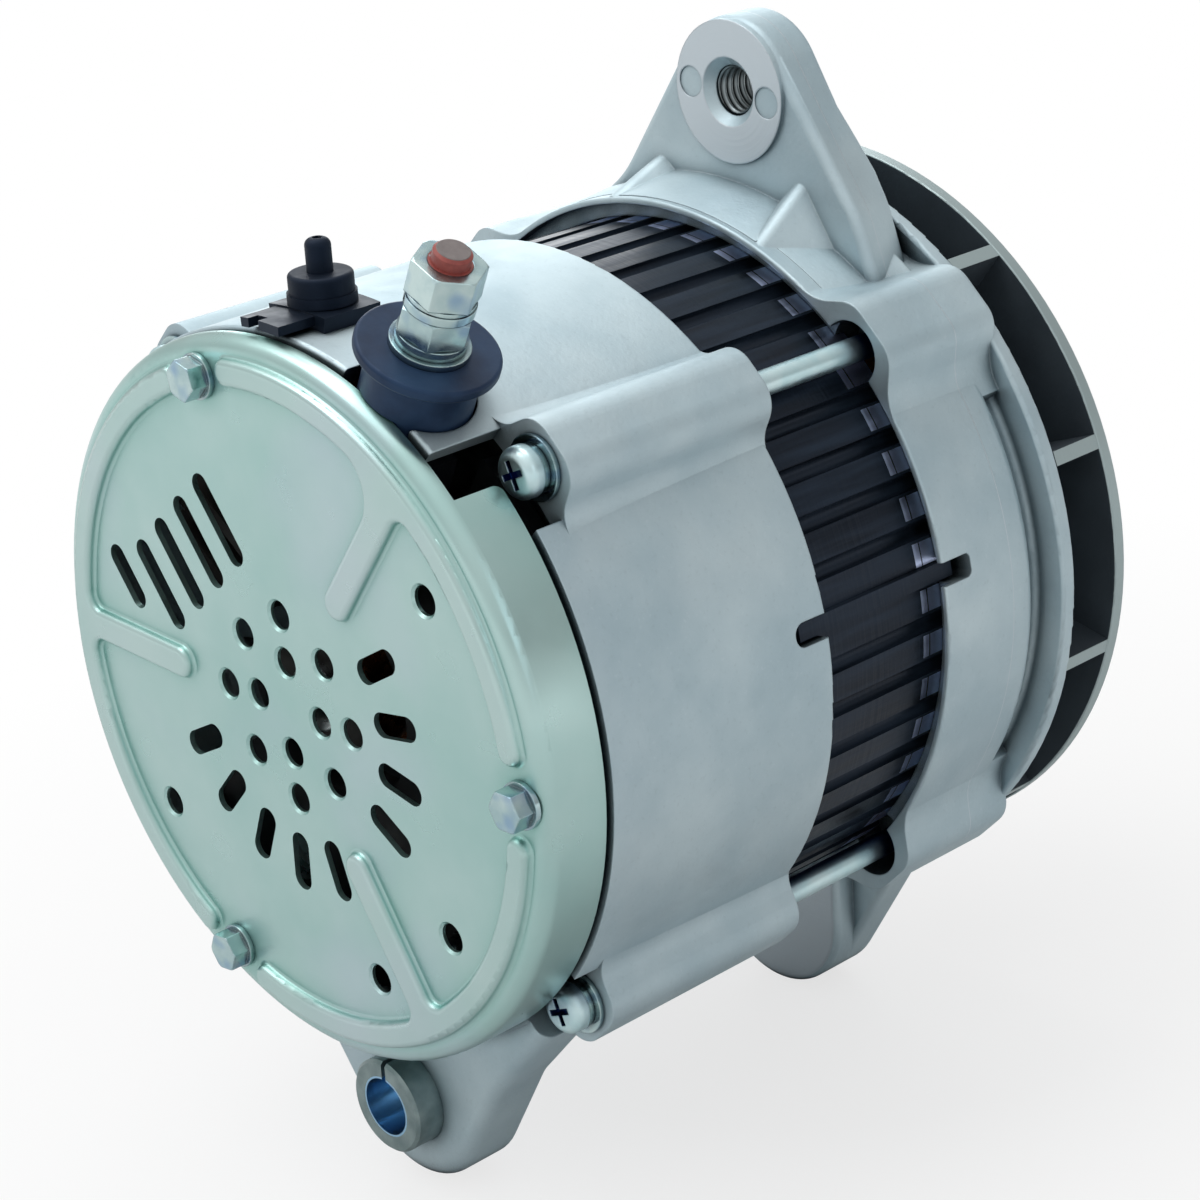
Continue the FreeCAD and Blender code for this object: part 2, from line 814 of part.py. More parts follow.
def ear():
    """Adjusting ear above the front housing, with a round pad where the strap bolts on."""
    spread = ear_angle - saddle_half_angle
    shapes = [ear_plate()]
    for side, top in zip((1, -1), gusset_tops[::-1]):
        shapes.append(gusset(side, top))
    shapes = [turn(shape, ear_angle - 90) for shape in shapes]
    shapes.append(cylinder(ear_end_radius - ear_pad_inset, ear_face, ear_face + ear_thickness / 2.0,
                           ear_radius, ear_angle))
    back = ear_face + ear_pad_height + 1.0
    low = front_barrel_radius - 2.5
    start = front_lip + saddle_from_lip
    shapes.append(turned([(low, start, 0), (front_barrel_radius + 0.2, start, 0), (saddle_radius, back, 0),
                          (low, back, 0)], 2 * saddle_half_angle, spread))
    shapes.append(turned([(low, shoulder_start, 0), (front_barrel_radius + 0.1, shoulder_start, 0),
                          (shoulder_radius, groove_rear, 1.0), (low, groove_rear, 0)],
                         shoulder_to_angle - shoulder_from_angle, shoulder_from_angle))
    return outside(shapes[0].multiFuse(shapes[1:]), front_barrel_radius - 3)


def lap_slot(y_closed, y_open, rounding):
    """Cutter for the slot over the core's weld, rounded at its closed end."""
    width = weld_width + weld_slot_clearance
    low = min(y_closed, y_open)
    box = Part.makeBox(12, abs(y_open - y_closed), width, point(core_radius - 3, low, -width / 2.0))
    ends = [e for e in box.Edges if e.BoundBox.XLength > 11 and abs(e.CenterOfMass.y - y_closed) < 1e-3]
    return turn(box.makeFillet(rounding, ends), weld_angle)


def windows_in_wall(r_from, r_to, width_angle, y_from, y_to, start):
    """Cutters for air openings in an end wall."""
    cutter = turned([(r_from, y_from, 0), (r_to, y_from, 0), (r_to, y_to, 0), (r_from, y_to, 0)],
                    width_angle, start - width_angle / 2.0)
    return ring_of(cutter, window_count)


def rear_housing():
    inner = barrel_radius - barrel_wall
    boss = rear_bearing_outer + rear_boss_wall
    lap_inner = core_radius + slip
    shell = turned([
        (barrel_rear_radius, rear_edge, 0.8), (barrel_radius, rear_housing_front, 0.6),
        (lap_inner, rear_housing_front, 0), (lap_inner, core_rear, 0),
        (core_radius - core_seat, core_rear, 0), (core_radius - core_seat, core_rear - 2, 0),
        (inner, core_rear - 3.5, 0), (inner, rear_wall_front, 3.0),
        (boss, rear_wall_front, 2.0), (boss, rear_bearing_front + 1.0, 0.8),
        (rear_bearing_outer + bearing_fit, rear_bearing_front + 1.0, 0),
        (rear_bearing_outer + bearing_fit, rear_bearing_rear, 0),
        (rear_bearing_outer - race_thickness, rear_bearing_rear, 0),
        (rear_bearing_outer - race_thickness, bay_floor, 1.0),
        (inner, bay_floor, 2.0), (inner, rear_edge, 0)])
    solids = [shell]
    solids += [bolt_boss(bolt_seat, rear_housing_front, a, barrel_radius, inner, boss_half_base,
                         boss_reach, boss_round, boss_side_sink, boss_foot_sink, 0) for a in bolt_angles]
    solids.append(foot(rear_foot_face, rear_foot_face + rear_foot_length, rear_foot_radius,
                       rear_foot_flank, rear_foot_waist, rear_foot_flare, rear_foot_edge_round,
                       foot_inner_round))
    for radius, angle in cover_bolts_at:
        solids.append(cylinder(post_radius, sheet, bay_floor + 1, radius, angle))
    for angle in plate_post_angles():
        solids.append(cylinder(post_radius, inner_plate_place + plate_thickness, bay_floor + 1,
                               plate_post_ring, angle))
    body = solids[0].multiFuse(solids[1:])
    tools = []
    skirt_inner = cover_radius - sheet - rear_register_clearance
    reach = 361.0 - (skirt_open_to - skirt_open_from)
    tools.append(turned([(skirt_inner - cover_corner, sheet - 1, 0), (barrel_radius + 14, sheet - 1, 0),
                         (barrel_radius + 14, register_depth, 0), (skirt_inner, register_depth, 0),
                         (skirt_inner, cover_corner + 0.6, 0)], reach, skirt_open_to - 0.5))
    for angle in bolt_angles:
        tools.append(radial_box(2 * pocket_half_width, pocket_floor_radius, barrel_radius + 12,
                                rear_edge - 8, bolt_seat, angle))
        tools.append(cylinder(bolt_thread / 2.0 + slip, bolt_seat - 1, rear_housing_front + 1,
                              bolt_circle, angle))
    tools.append(cylinder(bush_outer_radius + slip / 2.0, rear_foot_face - 1,
                          rear_foot_face + rear_foot_length + 1, pivot_radius, -90))
    tools.append(cylinder(core_radius + slip, core_rear, rear_housing_front + 1))
    tools.append(lap_slot(core_rear - weld_overrun, rear_housing_front + 1, weld_slot_round))
    notch = collar_radius + notch_clearance
    tools.append(radial_bar(notch, inner - 3, barrel_radius + 12, stud_angle, stud_place))
    beside = Part.makeBox(15 + barrel_wall, stud_place - rear_edge + 3, notch,
                          point(inner - 3, rear_edge - 3, 0))
    tools.append(turn(beside, stud_angle))
    tools.append(radial_bar(pedestal_radius + touch_gap, inner - 3, barrel_radius + 9, second_angle,
                            second_place))
    low = cap_seat_radius - tab_thickness
    end = tab_front + touch_gap
    high = barrel_radius + 9
    tools.append(turned([(low, 0, 0), (high, 0, 0), (high, end, 0), (low, end, 0)],
                        2 * tab_pad_half_angle + 1, second_angle - tab_pad_half_angle - 0.5))
    for radius, angle in cover_bolts_at:
        tools.append(cylinder(bolt_thread / 2.0 + screw_fit, 0, cover_bolt_length + 3, radius, angle))
    tools += windows_in_wall(boss + rear_window_from_boss, inner - rear_window_from_barrel,
                             rear_window_angle, bay_floor - 1, rear_wall_front + 1, rear_window_start)
    for angle in plate_post_angles():
        tools.append(cylinder(plate_screw_radius + screw_fit, inner_plate_place, bay_floor - 0.5,
                              plate_post_ring, angle))
    return cut_all(body, tools).removeSplitter()


def front_housing():
    inner = core_radius - core_seat
    boss = front_bearing_outer + front_boss_wall
    lap_inner = core_radius + slip
    nose = flange_front + front_boss_nose
    shell = turned([
        (lap_inner, front_lip + lip_recess_depth, 0), (lip_recess_radius, front_lip + lip_recess_depth, 0),
        (lip_recess_radius, front_lip, 0), (front_barrel_radius, front_lip, 0.5),
        (front_barrel_radius, groove_rear, 2.2),
        (groove_radius, groove_rear + 1.2, 1.2), (groove_radius, flange_rear, 1.2),
        (flange_radius, flange_rear, 0.8), (flange_radius, flange_front, 0.8),
        (boss - 1.5, flange_front, 1.0), (boss - 2.5, nose, 0.8),
        (front_bearing_outer - race_thickness, nose, 0),
        (front_bearing_outer - race_thickness, front_bearing_front, 0),
        (front_bearing_outer + bearing_fit, front_bearing_front, 0),
        (front_bearing_outer + bearing_fit, front_bearing_rear, 0),
        (boss, front_bearing_rear, 0.8), (boss, front_wall_rear, 2.0),
        (inner, front_wall_rear, 2.5), (inner, core_front, 0), (lap_inner, core_front, 0)])
    solids = [shell]
    solids += [bolt_boss(front_lip, flange_rear + front_boss_lap, a, front_barrel_radius, inner,
                         front_boss_half_base, front_boss_reach, front_boss_round, front_boss_side_sink,
                         front_boss_foot_sink, front_boss_end_round) for a in bolt_angles]
    plate_rear = front_foot_face - front_foot_plate
    plate = foot(plate_rear, front_foot_face, front_foot_radius, front_foot_flank, front_foot_waist,
                 front_foot_flare, foot_inner_round, front_foot_edge_round)
    recess = tube(flange_radius + front_foot_proud, boss, flange_front, front_foot_face + 1)
    solids.append(plate.cut(recess))
    solids.append(foot(front_foot_rear, plate_rear + 2.0, front_foot_radius, boss_flank,
                       front_foot_waist, boss_flare, front_foot_edge_round, 0))
    solids.append(ear())
    body = solids[0].multiFuse(solids[1:])
    tools = [cylinder(inner, core_front, front_wall_rear - 3),
             cylinder(core_radius + slip, front_lip - 1, core_front),
             cylinder(lip_recess_radius, front_lip - 1, front_lip + lip_recess_depth)]
    for angle in bolt_angles:
        tools.append(cylinder(rod_pocket_radius, front_lip - 1, front_lip + rod_pocket_depth,
                              bolt_circle - 1.0, angle))
        tools.append(cylinder(bolt_thread / 2.0 + screw_fit, front_lip, front_lip + bolt_grip_depth + 2,
                              bolt_circle, angle))
    tools.append(cylinder(pivot_bolt / 2.0 + pivot_clearance, front_foot_rear - 1,
                          front_foot_face + 1, pivot_radius, -90))
    hole = Part.makeCylinder(ear_tap_radius, ear_thickness + 2,
                             polar(ear_radius, ear_angle, ear_face - 1), point(0, 1, 0))
    sink = Part.makeCone(ear_countersink + 0.6, ear_tap_radius, ear_countersink_depth + 0.6,
                         polar(ear_radius, ear_angle, ear_face - 0.6), point(0, 1, 0))
    tools += [hole, sink]
    tools.append(lap_slot(core_front + weld_overrun, front_lip - 1, front_slot_round))
    for side in (-1, 1):
        mark = polar(ear_radius, ear_angle) + polar(side * ear_mark_place, ear_angle - 90)
        tools.append(Part.makeCylinder(ear_mark_radius, ear_mark_depth + 1,
                                       point(mark.x, ear_face - 1, mark.z), point(0, 1, 0)))
    tools += windows_in_wall(boss + front_window_from_boss, groove_radius - front_window_from_groove,
                             front_window_angle, front_wall_rear - 1, flange_front + 1,
                             bolt_start_angle + 180.0 / window_count)
    for angle in retainer_screw_angles():
        tools.append(cylinder(retainer_screw_radius + screw_fit, front_bearing_rear - 1,
                              front_bearing_rear + retainer_screw_grip + 2, retainer_screw_ring, angle))
    return cut_all(body, tools).removeSplitter()


# Through bolts and their washers
def through_bolt(angle):
    seat = bolt_seat - flat_washer_thickness - spring_washer_thickness
    top = seat - bolt_head_height
    head = cylinder(bolt_head_radius, top, seat)
    head = head.makeFillet(bolt_head_round, face_edges(head, top))
    for quarter in (0, 90):
        slot = Part.makeBox(cross_recess_length, cross_recess_depth + 1, cross_recess_width,
                            point(-cross_recess_length / 2.0, top - 1, -cross_recess_width / 2.0))
        head = head.cut(turn(slot, cross_recess_turn + quarter))
    head.translate(polar(bolt_circle, angle))
    shank = cylinder(bolt_thread / 2.0, seat, front_lip + bolt_grip_depth, bolt_circle, angle)
    return head.fuse(shank)


def washer(outer, inner, y_from, y_to, centre_radius, angle):
    disc = cylinder(outer, y_from, y_to, centre_radius, angle)
    return disc.cut(cylinder(inner, y_from - 1, y_to + 1, centre_radius, angle))


# Split bush in the rear foot
def foot_bush():
    rear = rear_foot_face - bush_proud
    bush = washer(bush_outer_radius, pivot_bolt / 2.0 + pivot_clearance, rear, rear + bush_length,
                  pivot_radius, -90)
    bush = bush.makeChamfer(0.6, [e for e in face_edges(bush, rear) + face_edges(bush, rear + bush_length)
                                  if abs(e.Curve.Radius - bush_outer_radius) < 1e-3])
    slit = Part.makeBox(bush_outer_radius + 2, bush_length + 2, bush_slit,
                        point(0, rear - 1, -bush_slit / 2.0))
    slit = turn(slit, bush_slit_angle)
    slit.translate(point(0, 0, -pivot_radius))
    return bush.cut(slit)


# Stator
def groove_outline(radius, depth, width, angle):
    """Round-bottomed groove of the core's skin: start, bottom and end points."""
    half = math.degrees(math.asin(width / 2.0 / radius))
    return polar(radius, angle - half), polar(radius - depth, angle), polar(radius, angle + half)


def stator_core():
    edges = []
    pitch = 360.0 / core_rib_count
    for i in range(core_rib_count):
        middle = core_rib_phase + pitch * (i + 0.5)
        start, bottom, end = groove_outline(core_radius, core_groove_depth, core_groove_width, middle)
        following = groove_outline(core_radius, core_groove_depth, core_groove_width, middle + pitch)
        edges.append(Part.Arc(start, bottom, end).toShape())
        crown = polar(core_radius, middle + pitch / 2.0)
        edges.append(Part.Arc(end, crown, following[0]).toShape())
    outer = Part.Face(Part.Wire(edges)).extrude(point(0, core_length, 0))
    tools = [cylinder(stator_bore, -1, core_length + 1)]
    slot = radial_box(slot_width_stator, stator_bore + slot_mouth_depth, slot_bottom_radius,
                      -1, core_length + 1, 0)
    mouth = radial_box(slot_mouth, stator_bore - 1, stator_bore + slot_mouth_depth + 0.5,
                       -1, core_length + 1, 0)
    tools += ring_of(slot.fuse(mouth), slot_count_stator)
    core = cut_all(outer, tools)
    core.translate(point(0, core_rear, 0))
    weld = radial_box(weld_width, core_radius - core_groove_depth - 1, core_radius + weld_height,
                      core_rear, core_front, weld_angle)
    return core.fuse(weld)


def stator_winding():
    def bundle(y_from, y_to):
        return turned([(winding_inner, y_from, winding_round), (winding_outer, y_from, winding_round),
                       (winding_outer, y_to, winding_round), (winding_inner, y_to, winding_round)])
    rear_end = core_rear - winding_off_core
    front_end = core_front + winding_off_core
    rear = bundle(rear_end - winding_overhang, rear_end)
    front = bundle(front_end, front_end + winding_overhang)
    bar = radial_box(slot_width_stator - 2 * touch_gap, winding_inner + 1.2, slot_bottom_radius - touch_gap,
                     rear_end - 4, front_end + 4, 0)
    return rear.multiFuse([front] + ring_of(bar, slot_count_stator))


# Rotor
def claw_pole(angle_shift):
    """Pole piece: a plate with tapered claws that reach forward over the coil."""
    outer = stator_bore - running_gap
    reach = core_length + 2 * rotor_rear_gap
    plate_end = rotor_rear + pole_plate
    tip = rotor_rear + reach - claw_tip_gap
    ring = turned([(outer, rotor_rear, 2.0), (outer, tip, 1.0), (outer - claw_tip_depth, tip, 1.0),
                   (outer - claw_root_depth, plate_end, 0), (outer - claw_root_depth, rotor_rear, 0)])
    root = claw_root_width / 2.0
    end = claw_tip_width / 2.0
    outline = [point(0, rotor_rear - 1, -root), point(0, plate_end, -root), point(0, tip + 1, -end),
               point(0, tip + 1, end), point(0, plate_end, root), point(0, rotor_rear - 1, root),
               point(0, rotor_rear - 1, -root)]
    wedge = Part.Face(Part.makePolygon(outline)).extrude(point(outer + 5, 0, 0))
    claws = [ring.common(turn(wedge, angle_shift + 360.0 * i / claw_count)) for i in range(claw_count)]
    plate = turned([(pole_seat_radius, rotor_rear, 0), (outer - claw_root_depth + 0.5, rotor_rear, 0),
                    (outer - claw_root_depth + 0.5, plate_end, 0), (pole_seat_radius, plate_end, 0)])
    return plate.multiFuse(claws).removeSplitter()


def mirrored_pole(shape):
    """The front pole is the rear pole turned end for end about the rotor's middle."""
    other = shape.mirror(point(0, rotor_middle, 0), point(0, 1, 0))
    return turn(other, 180.0 / claw_count)


def pole_core():
    """Hub between the two pole plates, under the coil."""
    return tube(hub_radius, pole_seat_radius, rotor_rear + pole_plate, rotor_front - pole_plate)


def field_coil():
    outer = stator_bore - running_gap - claw_root_depth - coil_clear_of_claws
    return tube(outer, hub_radius + coil_gap, rotor_rear + pole_plate + coil_gap,
                rotor_front - pole_plate - coil_gap)


def rotor_shaft():
    journal_end = rear_bearing_front + 1.0
    return turned([
        (0, shaft_rear_end, 0), (shaft_rear_radius, shaft_rear_end, 0.8),
        (shaft_rear_radius, slip_sleeve_end, 0), (rear_journal_radius, slip_sleeve_end, 0),
        (rear_journal_radius, rear_bearing_front, 0), (shaft_waist_radius, rear_bearing_front, 0),
        (shaft_waist_radius, rotor_rear, 0), (pole_seat_radius, rotor_rear, 0),
        (pole_seat_radius, rotor_front, 0), (shaft_shoulder_radius, rotor_front, 0),
        (shaft_shoulder_radius, front_bearing_rear, 0), (front_journal_radius, front_bearing_rear, 0),
        (front_journal_radius, front_bearing_front, 0), (drive_seat_radius, front_bearing_front, 0),
        (drive_seat_radius, pulley_front - 1.0, 0), (thread_radius, pulley_front - 1.0, 0),
        (thread_radius, nut_front + shaft_end_overrun, 1.2), (0, nut_front + shaft_end_overrun, 0)])


def slip_sleeve():
    """Moulded insulating sleeve with three collars that hold the two slip rings apart."""
    first = slip_ring_start
    second = first + slip_ring_width + slip_ring_gap
    collar = slip_ring_radius - slip_ring_step
    seat = slip_ring_radius - slip_ring_thickness
    return turned([
        (shaft_rear_radius, slip_sleeve_start, 0), (collar, slip_sleeve_start, 0), (collar, first, 0),
        (seat, first, 0), (seat, first + slip_ring_width, 0), (collar, first + slip_ring_width, 0),
        (collar, second, 0), (seat, second, 0), (seat, second + slip_ring_width, 0),
        (collar, second + slip_ring_width, 0), (collar, slip_sleeve_end, 0),
        (shaft_rear_radius, slip_sleeve_end, 0)])


def slip_rings():
    rings = []
    for i in range(2):
        start = slip_ring_start + i * (slip_ring_width + slip_ring_gap)
        rings.append(tube(slip_ring_radius, slip_ring_radius - slip_ring_thickness, start,
                          start + slip_ring_width))
    return rings


# Bearings
def ball_groove(radius, ball, y):
    return Part.makeTorus(radius, ball, point(0, y, 0), point(0, 1, 0))


def bearing(inner, outer, rear, width):
    """Inner ring, outer ring and balls of a deep-groove ball bearing."""
    middle = (inner + outer) / 2.0
    ball = (outer - inner) * ball_share
    y = rear + width / 2.0
    groove = ball_groove(middle, ball + ball_clearance, y)
    inner_ring = tube(middle - ball * land_share, inner, rear, rear + width).cut(groove)
    outer_ring = tube(outer, middle + ball * land_share, rear, rear + width).cut(groove)
    balls = [Part.makeSphere(ball, polar(middle, 360.0 * i / ball_count, y)) for i in range(ball_count)]
    cage = tube(middle + cage_thickness / 2.0, middle - cage_thickness / 2.0, rear + cage_inset,
                rear + width - cage_inset)
    pocket = radial_bar(ball + 2 * ball_clearance, middle - 2, middle + 2, 0, y)
    return inner_ring, outer_ring, balls, cut_all(cage, ring_of(pocket, ball_count))


def retainer_screw_angles():
    return [retainer_screw_start + 360.0 * i / retainer_screw_count for i in range(retainer_screw_count)]


def bearing_retainer():
    rear = front_bearing_rear - retainer_thickness
    plate = tube(front_bearing_outer + front_boss_wall - retainer_inset, retainer_inner, rear,
                 front_bearing_rear)
    holes = [cylinder(retainer_screw_radius + touch_gap, rear - 1, front_bearing_rear + 1,
                      retainer_screw_ring, a) for a in retainer_screw_angles()]
    return cut_all(plate, holes)


def retainer_screw(angle):
    seat = front_bearing_rear - retainer_thickness
    head = cylinder(retainer_head_radius, seat - retainer_head_height, seat, retainer_screw_ring, angle)
    shank = cylinder(retainer_screw_radius, seat, seat + retainer_thickness + retainer_screw_grip,
                     retainer_screw_ring, angle)
    return head.fuse(shank)


# Drive end
def fan():
    disc = turned([
        (drive_seat_radius + bearing_fit, spacer_front, 0), (fan_hub_radius, spacer_front, 0.8),
        (fan_hub_radius, fan_rear, 3.0), (fan_radius, fan_rear, 0.4), (fan_radius, fan_front, 0.4),
        (fan_hub_radius + 3, fan_front, 1.0), (fan_hub_radius + 1, pulley_rear, 0.5),
        (drive_seat_radius + bearing_fit, pulley_rear, 0)])
    blade = radial_box(blade_thickness, blade_inner_radius, fan_radius - blade_inset, blade_rear,
                       fan_rear + 0.5, 0)
    return disc.multiFuse(ring_of(blade, blade_count, blade_start_angle)).removeSplitter()


def front_spacer():
    return tube(spacer_radius, drive_seat_radius + bearing_fit, front_bearing_front, spacer_front)


def pulley():
    middle = (pulley_rear + pulley_front) / 2.0
    deep = pulley_radius - pulley_groove_depth
    flare = (pulley_groove_top - pulley_groove_bottom) / 2.0 / pulley_groove_depth
    grooves = []
    for side in (-1, 1):
        centre = middle + side * pulley_groove_pitch / 2.0
        grooves.append(turned([
            (deep, centre - pulley_groove_bottom / 2.0, 0), (deep, centre + pulley_groove_bottom / 2.0, 0),
            (pulley_radius + 1, centre + pulley_groove_top / 2.0 + flare, 0),
            (pulley_radius + 1, centre - pulley_groove_top / 2.0 - flare, 0)]))
    body = turned([
        (drive_seat_radius + bearing_fit, pulley_rear, 0), (pulley_radius, pulley_rear, 0.8),
        (pulley_radius, pulley_front, 0.8), (pulley_radius - pulley_rim, pulley_front, 0.8),
        (pulley_hub_radius, pulley_front - pulley_dish, 1.0), (pulley_hub_radius, pulley_front, 0.5),
        (drive_seat_radius + bearing_fit, pulley_front, 0)])
    return cut_all(body, grooves)


def shaft_washer():
    return tube(shaft_washer_radius, thread_radius + 0.2, pulley_front, washer_front)


def shaft_nut():
    nut = hexagon(shaft_nut_flats, shaft_nut_height, point(0, washer_front, 0), point(0, 1, 0))
    return nut.cut(cylinder(thread_radius + thread_fit, washer_front - 1, nut_front + 1))


# Output terminal
def stud_stack():
    """Distances from the shaft of the pieces threaded on the output stud."""
    levels = [insulator_top_radius]
    for step in (stud_washer, stud_spring_washer, stud_lower_nut_height, stud_upper_washer,
                 stud_upper_spring_washer, stud_nut_height):
        levels.append(levels[-1] + step)
    return levels


def output_stud():
    start = plate_outer_radius - stud_sunk
    end = stud_stack()[-1] + stud_proud
    bar = radial_bar(stud_radius, start, end - stud_tip_length, stud_angle, stud_place)
    tip = radial_bar(stud_tip_radius, start, end, stud_angle, stud_place)
    top = polar(end, stud_angle, stud_place)
    rim = [e for e in tip.Edges if (e.CenterOfMass - top).Length < 0.05]
    return bar.fuse(tip.makeChamfer(stud_tip_chamfer, rim))


def stud_insulator():
    top = insulator_top_radius
    plate = radial_bar(insulator_radius, top - insulator_plate, top, stud_angle, stud_place)
    rim = [e for e in plate.Edges if e.Curve.TypeId == "Part::GeomCircle"]
    plate = plate.makeFillet(insulator_round, rim)
    low = barrel_radius - barrel_wall - collar_reach
    collar = radial_bar(collar_radius, low, top - insulator_round, stud_angle, stud_place)
    hole = radial_bar(stud_radius + slip, low - 1, top + 1, stud_angle, stud_place)
    clear = cylinder(cover_radius + touch_gap, 0, cover_corner + skirt_open_gap + touch_gap)
    return plate.fuse(collar).cut(hole).cut(clear)


def stud_ring(outer, r_from, r_to):
    ring = radial_bar(outer, r_from, r_to, stud_angle, stud_place)
    return ring.cut(radial_bar(stud_radius + slip, r_from - 1, r_to + 1, stud_angle, stud_place))


def stud_nut(r_from, height, turned_by):
    nut = hexagon(stud_nut_flats, height, polar(r_from, stud_angle, stud_place), polar(1, stud_angle),
                  turned_by)
    return nut.cut(radial_bar(stud_radius + thread_fit, r_from - 1, r_from + height + 1, stud_angle,
                              stud_place))


# Second terminal with its rubber cap
def terminal_tab():
    """Contact plate on the barrel, with a notched tongue that reaches over the cover's edge."""
    low = cap_seat_radius - tab_thickness
    pad = turned([(low, tab_pad_rear, 0), (cap_seat_radius, tab_pad_rear, 0),
                  (cap_seat_radius, tab_front, 0), (low, tab_front, 0)],
                 2 * tab_pad_half_angle, second_angle - tab_pad_half_angle)
    top = cap_seat_radius - tongue_sunk
    tongue = turned([(top - tongue_thickness, tongue_rear, 0), (top, tongue_rear, 0),
                     (top, tab_pad_rear + 1, 0), (top - tongue_thickness, tab_pad_rear + 1, 0)],
                    tongue_to_angle - tongue_from_angle, tongue_from_angle)
    notch = radial_box(tongue_notch_width, low, cap_seat_radius + 1, tongue_rear - 1,
                       tongue_rear + tongue_notch_depth, tongue_notch_angle)
    bar = radial_bar(pedestal_radius, pedestal_foot, low + 0.5, second_angle, second_place)
    hole = radial_bar(second_post_radius + slip, pedestal_foot - 3, cap_seat_radius + 3, second_angle,
                      second_place)
    return pad.multiFuse([tongue, bar]).cut(hole).cut(notch)


def terminal_post():
    low = pedestal_foot
    head = radial_bar(second_head_radius, low - second_head_height, low, second_angle, second_place)
    bar = radial_bar(second_post_radius, low, cap_seat_radius + second_post_proud, second_angle,
                     second_place)
    return head.fuse(bar)


def terminal_cap():
    seat = cap_seat_radius
    top = seat + cap_ring_height + cap_height
    end = top + nipple_height
    ring = radial_bar(cap_ring_radius, seat, seat + cap_ring_height, second_angle, second_place)
    body = radial_bar(cap_radius, seat + 1, top, second_angle, second_place)
    body = body.makeFillet(0.8, rim_at(body, top))
    nipple = radial_bar(nipple_radius, top - 1, end, second_angle, second_place)
    nipple = nipple.makeFillet(nipple_radius * 0.6, rim_at(nipple, end))
    hole = radial_bar(nipple_hole, end - nipple_hole_depth, end + 1, second_angle, second_place)
    hollow = radial_bar(cap_radius - cap_wall, seat - 1, seat + cap_hollow, second_angle, second_place)
    return ring.multiFuse([body, nipple]).cut(hollow).cut(hole)


def rim_at(bar, radius):
    """Round edge of a radial bar of the second terminal, at a distance from the shaft."""
    middle = polar(radius, second_angle, second_place)
    return [e for e in bar.Edges if (e.CenterOfMass - middle).Length < 0.05]


# Rectifier
def plate_post_angles():
    return [plate_from_angle + 8, (plate_from_angle + plate_to_angle) / 2.0 - 6, plate_to_angle - 20]


def diode_angles():
    span = plate_to_angle - plate_from_angle
    return [plate_from_angle + span * (i + 0.5) / diodes_per_plate for i in range(diodes_per_plate)]


def heat_plate(place, bore_for_posts):
    """Horseshoe heat sink with round seats for its diodes."""
    span = plate_to_angle - plate_from_angle
    plate = turned([(plate_inner_radius, place, 0), (plate_outer_radius, place, 0),
                    (plate_outer_radius, place + plate_thickness, 0),
                    (plate_inner_radius, place + plate_thickness, 0)], span, plate_from_angle)
    tools = [cylinder(bore_for_posts, place - 1, place + plate_thickness + 1, plate_post_ring, a)
             for a in plate_post_angles()]
    tools += [cylinder(diode_radius, place - 1, place + plate_thickness + 1, diode_ring, a)
              for a in diode_angles()]
    tools += [cylinder(post_radius + 1.0, place - 1, place + plate_thickness + 1, r, a)
              for r, a in cover_bolts_at]
    return cut_all(plate, tools)


def positive_plate():
    plate = heat_plate(outer_plate_place, sleeve_radius)
    low = plate_outer_radius - lug_depth
    front = outer_plate_place + plate_thickness
    end = stud_angle + math.degrees(lug_width / 2.0 / plate_outer_radius)
    reach = turned([(low, outer_plate_place, 0), (plate_outer_radius, outer_plate_place, 0),
                    (plate_outer_radius, front, 0), (low, front, 0)], end - plate_to_angle, plate_to_angle)
    lug = radial_box(lug_width, low, plate_outer_radius, outer_plate_place,
                     outer_plate_place + lug_height, stud_angle)
    hole = radial_bar(stud_radius + thread_fit, plate_outer_radius - stud_sunk, plate_outer_radius + 3,
                      stud_angle, stud_place)
    return plate.multiFuse([reach, lug]).cut(hole)


def diode(place, angle, side):
    """Press-fit diode: a can in the plate and a stalk on one side."""
    can = cylinder(diode_radius, place, place + plate_thickness, diode_ring, angle)
    low = place - diode_height if side < 0 else place + plate_thickness
    lead = cylinder(diode_lead_radius, low, low + diode_height, diode_ring, angle)
    return can.fuse(lead)


def plate_spacer(angle):
    rear = outer_plate_place + plate_thickness
    return washer(post_radius, plate_screw_radius + slip, rear, rear + plate_gap, plate_post_ring, angle)


def plate_screw(angle):
    """Screw through both plates; an insulating sleeve round it fills the outer plate's hole."""
    seat = outer_plate_place - sleeve_rim
    place = polar(plate_post_ring, angle, seat)
    head = hexagon(plate_screw_flats, plate_screw_head, place, point(0, -1, 0))
    shank = cylinder(plate_screw_radius, seat, bay_floor - 2.0, plate_post_ring, angle)
    return head.fuse(shank)


def plate_sleeve(angle):
    rim = washer(post_radius, plate_screw_radius + slip, outer_plate_place - sleeve_rim,
                 outer_plate_place, plate_post_ring, angle)
    body = washer(sleeve_radius - slip, plate_screw_radius + slip, outer_plate_place,
                  outer_plate_place + plate_thickness, plate_post_ring, angle)
    return rim.fuse(body)


